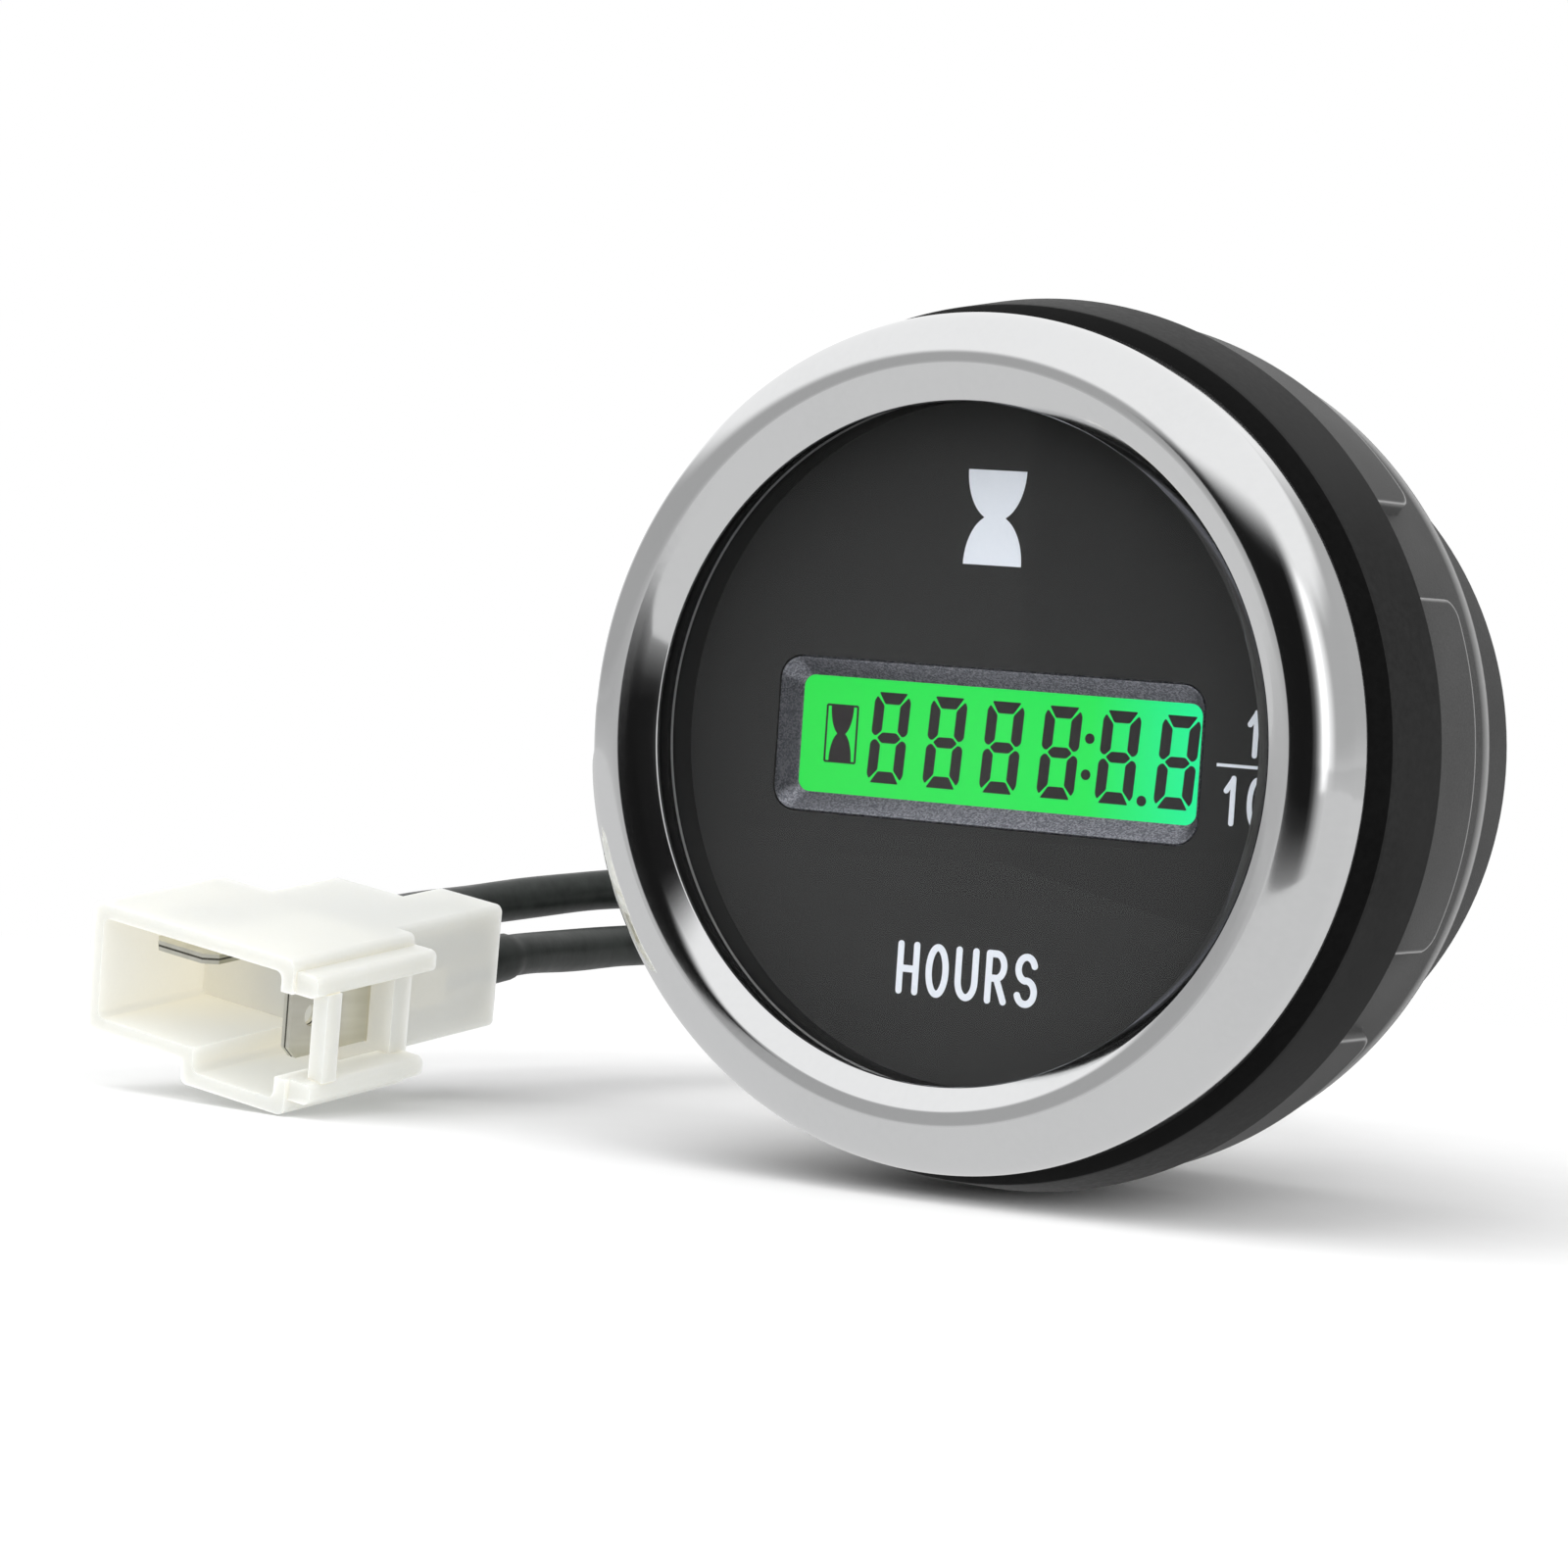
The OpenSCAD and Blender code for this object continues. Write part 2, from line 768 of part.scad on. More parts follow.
module cable_grommet() {
    color([0.07, 0.07, 0.07])
        on_axis()
            difference() {
                union() {
                    translate([0, 0, rear_z - grommet_flange_t])
                        linear_extrude(grommet_flange_t)
                            lead_pair(grommet_flange_r);
                    translate([0, 0, rear_z - fit])
                        linear_extrude(rear_t + 2 * fit)
                            lead_pair(grommet_neck_r - fit);
                    translate([0, 0, floor_z])
                        linear_extrude(grommet_flange_t)
                            lead_pair(grommet_flange_r);
                    translate([0, 0, nose_z])
                        linear_extrude(nose_len + fit)
                            lead_pair(grommet_neck_r - fit);
                }
                for (y = lead_ys)
                    translate([0, y, nose_z - over])
                        cylinder(h = floor_z - nose_z + grommet_flange_t + 2 * over, r = lead_hole_r);
            }
}

module lead(index, route, barrel_at, end_l) {
    start = [0, -nose_z, lead_ys[index]];
    inner = on_connector([barrel_at.x, end_l, barrel_at.y]);
    outer = on_connector([barrel_at.x, end_l + lead_end_l, barrel_at.y]);
    color([0.12, 0.13, 0.12])
        tube(concat([start], route, [outer, inner]), lead_d, lead_sides);
}

module lead_upper() {
    lead(0, upper_route, flat_tab_at - [0, flat_barrel_drop], body_l);
}

module lead_lower() {
    lead(1, lower_route, upright_tab_at - [upright_barrel_drop, 0], tail_l);
}

// Drawn from its top left front corner: X to the right, Y to the rear, Z up
module at_connector() {
    translate(connector_at)
        rotate([0, 0, connector_turn])
            rotate([connector_dip, 0, 0])
                rotate([0, connector_lean, 0])
                    children();
}

// Round-edged block from a corner, with its round edges along Y
module round_block(x0, x1, z0, z1, y0, y1, r) {
    translate([(x0 + x1) / 2, y1, (z0 + z1) / 2])
        rotate([90, 0, 0])
            linear_extrude(y1 - y0)
                round_rect(x1 - x0, z1 - z0, r);
}

module block(x0, x1, y0, y1, z0, z1) {
    translate([x0, y0, z0])
        cube([x1 - x0, y1 - y0, z1 - z0]);
}

module hood_shell(inset, y0, y1, r) {
    round_block(inset, hood_w - inset, -hood_h + inset, -inset, y0, y1, r);
    round_block(hood_step_w + inset, hood_w - inset, -hood_deep_h + inset, -inset, y0, y1, r);
}

module latch_guard() {
    out = hood_w + guard_out;
    root = hood_w - hood_wall;
    round_block(root, out, guard_top[1], guard_top[0], guard_start, guard_l + hood_edge_r, hood_edge_r);
    round_block(root, out, guard_low[1], guard_low[0], guard_start, guard_l, hood_edge_r);
    block(out - guard_wall, out, bar_start, bar_start + bar_l, guard_low[0] - fit, guard_top[1] + fit);
}

// Tab with a chamfered tip and a hole, its neck and its crimp barrel; the gap makes its slot
module terminal(tip, end_l, barrel_drop, gap) {
    half = tab_w / 2 + gap;
    chamfer = tab_chamfer;
    translate([0, 0, -tab_t / 2 - gap])
        linear_extrude(tab_t + 2 * gap)
            polygon([
                [-half + chamfer, tip], [half - chamfer, tip], [half, tip + chamfer], [half, tab_end_l],
                [-half, tab_end_l], [-half, tip + chamfer]
            ]);
    block(-neck_w / 2 - gap, neck_w / 2 + gap, tab_end_l - fit, end_l - barrel_len + fit,
        -barrel_drop - tab_t / 2 - gap, tab_t / 2 + gap);
    translate([0, end_l, -barrel_drop])
        rotate([90, 0, 0])
            cylinder(h = barrel_len, d = barrel_d + 2 * gap);
}

module tab_with_hole(tip, end_l, barrel_drop) {
    difference() {
        terminal(tip, end_l, barrel_drop, 0);
        translate([0, tip + tab_hole_at, -tab_t])
            cylinder(h = 2 * tab_t, d = tab_hole_d);
    }
}

module at_flat_tab() {
    translate([flat_tab_at.x, 0, flat_tab_at.y])
        children();
}

module at_upright_tab() {
    translate([upright_tab_at.x, 0, upright_tab_at.y])
        rotate([0, 90, 0])
            children();
}

module connector_housing() {
    color([0.93, 0.94, 0.9])
        at_connector()
            difference() {
                union() {
                    hood_shell(0, 0, hood_l, hood_edge_r);
                    round_block(body_in, body_out, -body_h, 0, hood_l - over, body_l, hood_edge_r);
                    round_block(tail_in, body_out, -body_h, 0, body_l - over, tail_l, hood_edge_r);
                    latch_guard();
                }
                hood_shell(hood_wall, -over, socket_l, hood_edge_r);
                block(hood_w - hood_wall - over, hood_w + (guard_out - guard_wall) / 2, -over, socket_l,
                    guard_low[0], guard_top[1]);
                block(hood_w - hood_wall - over, hood_w + guard_out + over, bar_start + bar_l, socket_l,
                    guard_low[0], guard_top[1]);
                at_flat_tab()
                    terminal(flat_tab_tip, body_l, flat_barrel_drop, fit);
                at_upright_tab()
                    terminal(upright_tab_tip, tail_l, upright_barrel_drop, fit);
            }
}

module tab_horizontal() {
    color([0.78, 0.78, 0.7])
        at_connector()
            at_flat_tab()
                tab_with_hole(flat_tab_tip, body_l, flat_barrel_drop);
}

module tab_vertical() {
    color([0.78, 0.78, 0.7])
        at_connector()
            at_upright_tab()
                tab_with_hole(upright_tab_tip, tail_l, upright_barrel_drop);
}

bezel();
lens();
lens_seal();
dial_spacer();
dial_plate();
display_frame();
display_glass();
light_guide();
backlight_leds();
contact_strips();
display_holder();
circuit_board();
board_screws();
controller_chip();
memory_chip();
regulator();
crystal();
capacitor();
input_diodes();
board_leads();
case();
panel_gasket();
lock_ring();
cable_grommet();
lead_upper();
lead_lower();
connector_housing();
tab_horizontal();
tab_vertical();
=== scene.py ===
# %% [markdown]
# # A round panel hour meter
# The object is a 52 mm instrument: a chrome bezel over a black dial with a lit display, a rubber
# gasket, a threaded case with a lock ring, and two short leads that end in a white connector.
# The CAD model gives every piece its place. The lesson loads it first and then dresses it.

# %% Load the frame
import json
import math

import bmesh
import bpy
from mathutils import Matrix, Vector


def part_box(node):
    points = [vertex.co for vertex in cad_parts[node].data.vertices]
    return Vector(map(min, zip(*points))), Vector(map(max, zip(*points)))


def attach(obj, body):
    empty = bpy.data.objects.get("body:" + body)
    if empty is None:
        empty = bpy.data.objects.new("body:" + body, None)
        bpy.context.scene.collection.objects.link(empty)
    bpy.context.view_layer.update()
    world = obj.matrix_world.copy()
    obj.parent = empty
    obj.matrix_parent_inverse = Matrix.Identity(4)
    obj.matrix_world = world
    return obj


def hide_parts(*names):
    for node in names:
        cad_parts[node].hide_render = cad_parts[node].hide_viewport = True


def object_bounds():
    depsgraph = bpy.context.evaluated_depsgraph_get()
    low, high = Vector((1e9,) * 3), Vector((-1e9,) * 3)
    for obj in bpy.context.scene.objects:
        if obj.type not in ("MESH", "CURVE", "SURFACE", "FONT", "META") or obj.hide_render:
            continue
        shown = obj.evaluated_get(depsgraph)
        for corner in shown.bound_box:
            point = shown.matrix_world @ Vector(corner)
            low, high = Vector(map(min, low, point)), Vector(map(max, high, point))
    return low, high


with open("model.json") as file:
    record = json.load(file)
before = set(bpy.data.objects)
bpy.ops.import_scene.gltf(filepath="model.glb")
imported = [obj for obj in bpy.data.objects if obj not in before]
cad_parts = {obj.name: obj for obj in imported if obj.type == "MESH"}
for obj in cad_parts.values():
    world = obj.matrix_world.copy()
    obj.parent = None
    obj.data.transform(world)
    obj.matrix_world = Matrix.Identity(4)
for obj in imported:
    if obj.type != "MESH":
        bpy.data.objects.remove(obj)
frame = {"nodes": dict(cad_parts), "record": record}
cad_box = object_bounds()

MM = 0.001
scene = bpy.context.scene
scene.view_settings.view_transform = "Standard"

# %% [markdown]
# ## Camera
# The photographer stood a little to the right of the dial, almost level with it, with a long lens and
# the camera slightly tilted. Turning the view from an azimuth, an elevation and a roll keeps those
# three facts readable, where a bare matrix would hide them.

# %% Camera
VIEW_TARGET = Vector((-12.79, -12.57, -3.77)) * MM
VIEW_AZIMUTH = 30.78
VIEW_ELEVATION = 2.30
VIEW_ROLL = math.radians(3.85)
VIEW_DISTANCE = 348.6 * MM
VIEW_LENS_MM = 113.57
VIEW_NEAR = 10 * MM
VIEW_FAR = 20


def direction(azimuth, elevation):
    """Unit vector away from the dial, by degrees to its right and degrees up."""
    turn = math.radians(azimuth)
    rise = math.radians(elevation)
    return Vector((math.sin(turn) * math.cos(rise), -math.cos(turn) * math.cos(rise), math.sin(rise)))


def add_camera():
    """Look at the dial from its right, with the horizon tilted by the roll."""
    back = direction(VIEW_AZIMUTH, VIEW_ELEVATION)
    side = Vector((0, 0, 1)).cross(back).normalized()
    above = back.cross(side)
    right = side * math.cos(VIEW_ROLL) + above * math.sin(VIEW_ROLL)
    up = above * math.cos(VIEW_ROLL) - side * math.sin(VIEW_ROLL)
    lens = bpy.data.cameras.new("photo_camera")
    lens.lens = VIEW_LENS_MM
    lens.clip_start = VIEW_NEAR
    lens.clip_end = VIEW_FAR
    camera = bpy.data.objects.new("photo_camera", lens)
    scene.collection.objects.link(camera)
    turn = Matrix((right, up, back)).transposed().to_4x4()
    camera.matrix_world = Matrix.Translation(VIEW_TARGET + back * VIEW_DISTANCE) @ turn
    scene.camera = camera
    return camera


camera = add_camera()
print("camera at", [round(v, 4) for v in camera.location])

# %% [markdown]
# ## Helpers for shapes
# Most of this object was turned, moulded or printed, so a few small tools make nearly all of it:
# rounding a section's corners, spinning a section round the axis, pushing a flat outline forward, and
# copying a CAD solid with its hard edges broken. The meter's axis is Y, and the dial looks to -Y.

# %% Outlines
def soften(points, radius, steps=5):
    """Round each corner of a closed outline; radius is one number, or one for each corner."""
    count = len(points)
    radii = radius if hasattr(radius, "__len__") else [radius] * count
    outline = []
    for i, here in enumerate(points):
        here = Vector(here)
        to_last = Vector(points[i - 1]) - here
        to_next = Vector(points[(i + 1) % count]) - here
        reach = min(radii[i], 0.48 * to_last.length, 0.48 * to_next.length)
        if reach <= 0:
            outline.append(here)
            continue
        start = here + to_last.normalized() * reach
        end = here + to_next.normalized() * reach
        for k in range(steps + 1):
            t = k / steps
            outline.append(start * (1 - t) ** 2 + here * (2 * t * (1 - t)) + end * t ** 2)
    return outline


def oval(x, z, rx, rz, start, end, steps=28):
    """Points along part of an oval, with angles in degrees."""
    angles = [math.radians(start + (end - start) * k / steps) for k in range(steps + 1)]
    return [(x + rx * math.cos(a), z + rz * math.sin(a)) for a in angles]


def arc(centre, radius, start, end, steps):
    """Points along part of a circle, with angles in degrees."""
    return oval(centre[0], centre[1], radius, radius, start, end, steps)


def ramp(distance, width):
    """A straight rise from 0 to 1 over a width."""
    return min(max(distance / width, 0), 1)


def soft_ramp(distance, width):
    """A rise from 0 to 1 over a width that starts and ends gently."""
    t = ramp(distance, width)
    return t * t * (3 - 2 * t)


# %% Meshes
ONE_TURN = 2 * math.pi
TURN_STEPS = 224
SAME_POINT = 1e-7


def skin(bm, rings, closed=True):
    """Join each ring of points to the next with faces, and the last to the first where it closes."""
    after = rings[1:] + rings[:1] if closed else rings[1:]
    for here, there in zip(rings, after):
        for i in range(len(here)):
            j = (i + 1) % len(here)
            bm.faces.new((here[i], here[j], there[j], there[i]))


def revolve(section_at, angles):
    """Stand the section of (radius, y) points for each angle round the meter's axis, and join them."""
    bm = bmesh.new()
    rings = []
    for a in angles:
        rings.append([bm.verts.new((r * math.cos(a), y, r * math.sin(a))) for r, y in section_at(a)])
    skin(bm, rings)
    bmesh.ops.remove_doubles(bm, verts=bm.verts, dist=SAME_POINT)
    return bm


def even_turn(steps):
    """Angles of a whole turn in even steps."""
    return [ONE_TURN * k / steps for k in range(steps)]


def spin(section, steps=TURN_STEPS):
    """Spin one closed section round the meter's axis."""
    return revolve(lambda angle: section, even_turn(steps))


def slab(bm, outline, front, back):
    """Push a flat outline of (x, z) points from one y to another."""
    near, far = [[bm.verts.new((x, y, z)) for x, z in outline] for y in (front, back)]
    bm.faces.new(near)
    bm.faces.new(far[::-1])
    skin(bm, [near, far], closed=False)


# %% Pieces
CRISP_ANGLE = math.radians(38)
HARD_ANGLE = math.radians(40)
FLAT_ANGLE = math.radians(0.6)
CAD_WELD = 1e-6
BEVEL_STEPS = 3


def add_mesh(name, bm, finish):
    """Turn a bmesh into an object with one finish."""
    mesh = bpy.data.meshes.new(name)
    bm.to_mesh(mesh)
    bm.free()
    mesh.materials.append(finish)
    made = bpy.data.objects.new(name, mesh)
    scene.collection.objects.link(made)
    return made


def piece(name, bm, finish, body="meter", stands_for=()):
    """Turn a bmesh into a smooth piece that rides on a body and takes a finish."""
    bmesh.ops.recalc_face_normals(bm, faces=bm.faces)
    made = add_mesh(name, bm, finish)
    made.data.shade_smooth()
    made.data.set_sharp_from_angle(angle=CRISP_ANGLE)
    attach(made, body)
    if stands_for:
        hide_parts(*stands_for)
    print("made", name, "with", len(made.data.polygons), "faces")
    return made


def broken_edges(name, node, finish, width):
    """Copy a CAD solid into a piece of its own and break its hard edges."""
    bm = bmesh.new()
    bm.from_mesh(frame["nodes"][node].data)
    bmesh.ops.remove_doubles(bm, verts=bm.verts, dist=CAD_WELD)
    bmesh.ops.dissolve_limit(
        bm, angle_limit=FLAT_ANGLE, verts=bm.verts, edges=bm.edges, use_dissolve_boundaries=False
    )
    made = piece(name, bm, finish, stands_for=(node,))
    bevel = made.modifiers.new("broken_edges", "BEVEL")
    bevel.width = width
    bevel.segments = BEVEL_STEPS
    bevel.limit_method = "ANGLE"
    bevel.angle_limit = HARD_ANGLE
    bevel.use_clamp_overlap = True
    return made


def second_finish(made, finish, wanted):
    """Give the faces whose centre passes a test a second finish."""
    made.data.materials.append(finish)
    for face in made.data.polygons:
        if wanted(face.center):
            face.material_index = 1


# %% [markdown]
# ## Helpers for finishes
# Two effects come back in many of the finishes, so each is a node group: a moulded grain for plastic
# and rubber, and handling marks for bare metal and the lens. A group only gives out colours and values.
# The shader itself, and every number that is the same all over, stays in the material, where an
# exporter can read it.

# %% Node helpers
def feed(tree, socket, value):
    """Give a socket its value: a link from another socket, or a plain number or colour."""
    if isinstance(value, bpy.types.NodeSocket):
        tree.links.new(value, socket)
    else:
        socket.default_value = value


def add_node(tree, kind, values=None, **settings):
    """Add a node with its own settings, and feed its sockets by their name or number."""
    node = tree.nodes.new("ShaderNode" + kind)
    for label, setting in settings.items():
        setattr(node, label, setting)
    for label, value in (values or {}).items():
        feed(tree, node.inputs[label], value)
    return node


def math_node(tree, operation, first, second):
    """One sum on two values, each a socket or a number."""
    return add_node(tree, "Math", {0: first, 1: second}, operation=operation).outputs[0]


def blend(tree, factor, first, second, how="MIX"):
    """Mix two colours by a factor."""
    colours = {0: factor, 6: first, 7: second}
    return add_node(tree, "Mix", colours, data_type="RGBA", blend_type=how).outputs[2]


def spread(tree, value, from_low, from_high, to_low, to_high):
    """Map a value from one span to another, clamped at its ends."""
    spans = {"Value": value, "From Min": from_low, "From Max": from_high, "To Min": to_low, "To Max": to_high}
    return add_node(tree, "MapRange", spans).outputs["Result"]


def own_place(tree):
    """The place of a point in the object's own space."""
    return add_node(tree, "TexCoord").outputs["Object"]


def noise(tree, scale, detail, stretch=(1, 1, 1)):
    """Noise in the object's own space; scale is a socket or a number of bumps for each metre."""
    place = add_node(tree, "Mapping", {"Vector": own_place(tree), "Scale": stretch}).outputs["Vector"]
    return add_node(tree, "TexNoise", {"Vector": place, "Scale": scale, "Detail": detail}).outputs["Fac"]


def colour_ramp(tree, factor, stops):
    """A ramp through two or more (place, colour) stops."""
    node = add_node(tree, "ValToRGB", {"Fac": factor})
    elements = node.color_ramp.elements
    for place, colour in stops[1:-1]:
        elements.new(place)
    for element, (place, colour) in zip(elements, stops):
        element.position = place
        element.color = colour
    return node.outputs["Color"]


def mix_shaders(tree, factor, first, second):
    """Show the first shader, or the second where the factor is 1."""
    mix = add_node(tree, "MixShader", {0: factor, 1: first, 2: second})
    feed(tree, tree.nodes["Material Output"].inputs["Surface"], mix.outputs["Shader"])


# %% Shared effects
COLOUR = "NodeSocketColor"
VALUE = "NodeSocketFloat"
GREY = (0.5, 0.5, 0.5, 1)
TONE_DRIFT = 90
SMEARS = 140
HAIRLINE_STRETCH = (1, 0.05, 1)


def new_effect(name, first, second, marks):
    """A group that takes two colours, a number of marks and two roughnesses, with named sockets."""
    group = bpy.data.node_groups.new(name, "ShaderNodeTree")
    given = [(first, COLOUR, GREY), (second, COLOUR, GREY), (marks, VALUE, 4000),
             ("Low Roughness", VALUE, 0.4), ("High Roughness", VALUE, 0.6)]
    for label, kind, value in given:
        socket = group.interface.new_socket(name=label, in_out="INPUT", socket_type=kind)
        socket.default_value = value
    for label, kind in (("Colour", COLOUR), ("Roughness", VALUE), ("Height", VALUE)):
        group.interface.new_socket(name=label, in_out="OUTPUT", socket_type=kind)
    return group, group.nodes.new("NodeGroupInput").outputs


def give_out(group, given, mask, shine, height):
    """Blend the group's two colours by a mask and its two roughnesses by a shine from 0 to 1."""
    result = group.nodes.new("NodeGroupOutput").inputs
    rough = spread(group, shine, 0, 1, given["Low Roughness"], given["High Roughness"])
    feed(group, result["Colour"], blend(group, mask, given[0], given[1]))
    feed(group, result["Roughness"], rough)
    feed(group, result["Height"], height)
    return group


def make_moulded_grain():
    """Fine grain of a spark-eroded mould, with a slow drift of tone over the piece."""
    group, given = new_effect("moulded_grain", "Dark", "Light", "Grain")
    grain = noise(group, given["Grain"], 3)
    fine = math_node(group, "MULTIPLY", grain, 0.6)
    slow = math_node(group, "MULTIPLY", noise(group, TONE_DRIFT, 2), 0.4)
    tone = spread(group, math_node(group, "ADD", fine, slow), 0.32, 0.68, 0, 1)
    return give_out(group, given, tone, spread(group, grain, 0.3, 0.7, 0, 1), grain)


def make_handling_marks():
    """Faint smears and hairlines that fingers and cloths leave."""
    group, given = new_effect("handling_marks", "Clean", "Dull", "Hairlines")
    hairline = noise(group, given["Hairlines"], 2, HAIRLINE_STRETCH)
    marks = math_node(group, "MULTIPLY", noise(group, SMEARS, 4), hairline)
    marks = spread(group, marks, 0.18, 0.42, 0, 1)
    return give_out(group, given, marks, marks, hairline)


MOULDED_GRAIN = make_moulded_grain()
HANDLING_MARKS = make_handling_marks()
print("groups:", [group.name for group in bpy.data.node_groups])

# %% [markdown]
# ## Plain finishes
# Each finish is a Principled shader fed by one of the groups. The colours are written as the photo
# shows them, in linear values, so a grey of 58 out of 255 is written as 0.042. A plain number is a grey.

# %% Finish helpers
def rgba(tone):
    """A colour socket's value from a grey or from three channels."""
    channels = tone if hasattr(tone, "__len__") else (tone, tone, tone)
    return (*channels, 1)


def new_finish(name, fixed):
    """Start a material; fixed gives the shader's sockets that are the same all over."""
    material = bpy.data.materials.new(name)
    material.use_nodes = True
    shader = material.node_tree.nodes["Principled BSDF"]
    for label, value in fixed.items():
        shader.inputs[label].default_value = value
    return material, material.node_tree, shader


def coat(tree, shader, effect, first, second, size, rough):
    """Place an effect with two colours, the size of its marks in millimetres and its roughness."""
    values = (rgba(first), rgba(second), 1 / (size * MM), *rough)
    node = add_node(tree, "Group", dict(enumerate(values)), node_tree=effect)
    feed(tree, shader.inputs["Base Color"], node.outputs["Colour"])
    feed(tree, shader.inputs["Roughness"], node.outputs["Roughness"])
    return node.outputs


def add_bump(tree, shader, height, strength, depth):
    """Raise the surface by a height socket, to a depth in millimetres."""
    bump = add_node(tree, "Bump", {"Height": height, "Strength": strength, "Distance": depth * MM})
    feed(tree, shader.inputs["Normal"], bump.outputs["Normal"])
    return bump


def moulded(name, dark, light, grain, rough, depth, fixed):
    """A moulded plastic or rubber finish; grain is the size of a bump and depth its height."""
    material, tree, shader = new_finish(name, fixed)
    given = coat(tree, shader, MOULDED_GRAIN, dark, light, grain, rough)
    add_bump(tree, shader, given["Height"], 0.6, depth)
    return material


def bare_metal(name, clean, dull, hairlines, rough, depth):
    """A plated or drawn metal finish with handling marks."""
    material, tree, shader = new_finish(name, {"Metallic": 1})
    given = coat(tree, shader, HANDLING_MARKS, clean, dull, hairlines, rough)
    add_bump(tree, shader, given["Height"], 0.2, depth)
    return material


# %% Plain finishes
DEAD = {"Specular IOR Level": 0.02}
DULL = {"Specular IOR Level": 0.1}
SATIN = {"Specular IOR Level": 0.25}
GLOSSY = {"Specular IOR Level": 0.5}

# Slot: name, dark, light, grain in mm, roughness from and to, depth in mm, shine
MOULDED = {
    "rubber": ("gasket_rubber", 0.010, 0.021, 0.5, (0.5, 0.6), 0.01, DULL),
    "dial_black": ("spacer_black", 0.006, 0.011, 0.4, (0.45, 0.55), 0.004, DULL),
    "dial_face": ("dial_satin", 0.033, 0.0345, 0.5, (0.52, 0.56), 0.0001, DULL),
    "holder": ("holder_white", (0.68, 0.68, 0.64), (0.76, 0.76, 0.73), 0.5, (0.45, 0.55), 0.01, GLOSSY),
    "guide": ("guide_frosted", (0.72, 0.78, 0.72), (0.82, 0.86, 0.82), 0.3, (0.3, 0.4), 0.01, GLOSSY),
    "led": ("led_resin", (0.8, 0.72, 0.3), (0.9, 0.84, 0.45), 0.6, (0.15, 0.25), 0.004, GLOSSY),
    "strip": ("strip_elastomer", (0.35, 0.1, 0.17), (0.52, 0.2, 0.29), 0.18, (0.6, 0.7), 0.02, GLOSSY),
    "board": ("board_mask", (0.008, 0.09, 0.03), (0.015, 0.14, 0.05), 0.9, (0.25, 0.35), 0.01, GLOSSY),
    "chip": ("chip_epoxy", (0.012, 0.012, 0.013), (0.024, 0.024, 0.025), 0.12, (0.5, 0.62), 0.01, GLOSSY),
    "lead": ("lead_sleeve", (0.013, 0.016, 0.014), (0.034, 0.039, 0.036), 1.1, (0.34, 0.46), 0.05, SATIN),
    "case": ("case_grain", 0.032, 0.066, 0.16, (0.5, 0.62), 0.03, SATIN),
}
# Slot: name, clean, dull, hairlines in mm, roughness from and to, depth in mm
METALS = {
    "chrome": ("bezel_chrome", (0.8, 0.805, 0.81), (0.785, 0.79, 0.795), 0.6, (0.07, 0.085), 0.0001),
    "screw": ("screw_zinc", (0.62, 0.62, 0.6), (0.5, 0.5, 0.49), 0.1, (0.25, 0.4), 0.01),
    "can": ("can_aluminium", (0.66, 0.67, 0.68), (0.56, 0.57, 0.58), 0.1, (0.3, 0.42), 0.01),
    "tinned": ("tab_tin", (0.7, 0.69, 0.61), (0.6, 0.585, 0.5), 1.2, (0.3, 0.38), 0.0005),
}
FINISH = {slot: moulded(*row) for slot, row in MOULDED.items()}
FINISH.update({slot: bare_metal(*row) for slot, row in METALS.items()})
print("plain finishes:", len(FINISH))

# %% [markdown]
# ## Display
# The display is lit from behind, greener at the left and nearer to cyan where its lamp sits at the
# right, so its light is a colour that drifts along X. A lamp behind the glass would need many samples,
# so the glass itself glows. It goes dark for light that has bounced, because a real display is too weak
# to tint the chrome lip beside it.

# %% Display light
GLOW_SPAN = (-16 * MM, 16.5 * MM)
GLOW_STOPS = ((0, (0.012, 0.73, 0.065, 1)), (0.72, (0.01, 0.78, 0.09, 1)), (1, (0.006, 0.89, 0.33, 1)))
UNLIT = rgba(0.035)


def display_finish():
    """Green light that drifts towards cyan at the right end of the display."""
    material, tree, shader = new_finish("display_lit", {**DULL, "Emission Strength": 1})
    along = add_node(tree, "SeparateXYZ", {"Vector": own_place(tree)}).outputs["X"]
    glow = colour_ramp(tree, spread(tree, along, *GLOW_SPAN, 0, 1), GLOW_STOPS)
    ray = add_node(tree, "LightPath").outputs
    bounces = math_node(tree, "ADD", ray["Diffuse Depth"], ray["Glossy Depth"])
    bounced = math_node(tree, "MINIMUM", bounces, 1)
    feed(tree, shader.inputs["Emission Color"], blend(tree, bounced, glow, UNLIT))
    coat(tree, shader, MOULDED_GRAIN, (0.02, 0.022, 0.02), (0.03, 0.032, 0.03), 0.2, (0.3, 0.3))
    return material


FINISH["display"] = display_finish()
print("display glows along", GLOW_SPAN)

# %% [markdown]
# ## Display frame's paint
# The frame round the display has a metallic paint with fine flakes. Small cells, each with its own
# brightness, give the flakes. Thick paint rounds the bevel off more than the shape does, so the normals
# lean towards the front, which spreads the highlights into the corners.

# %% Frame paint
FLAKE_SIZE = 0.11 * MM
FRAME_LEAN = (-0.1, -0.6, 0)


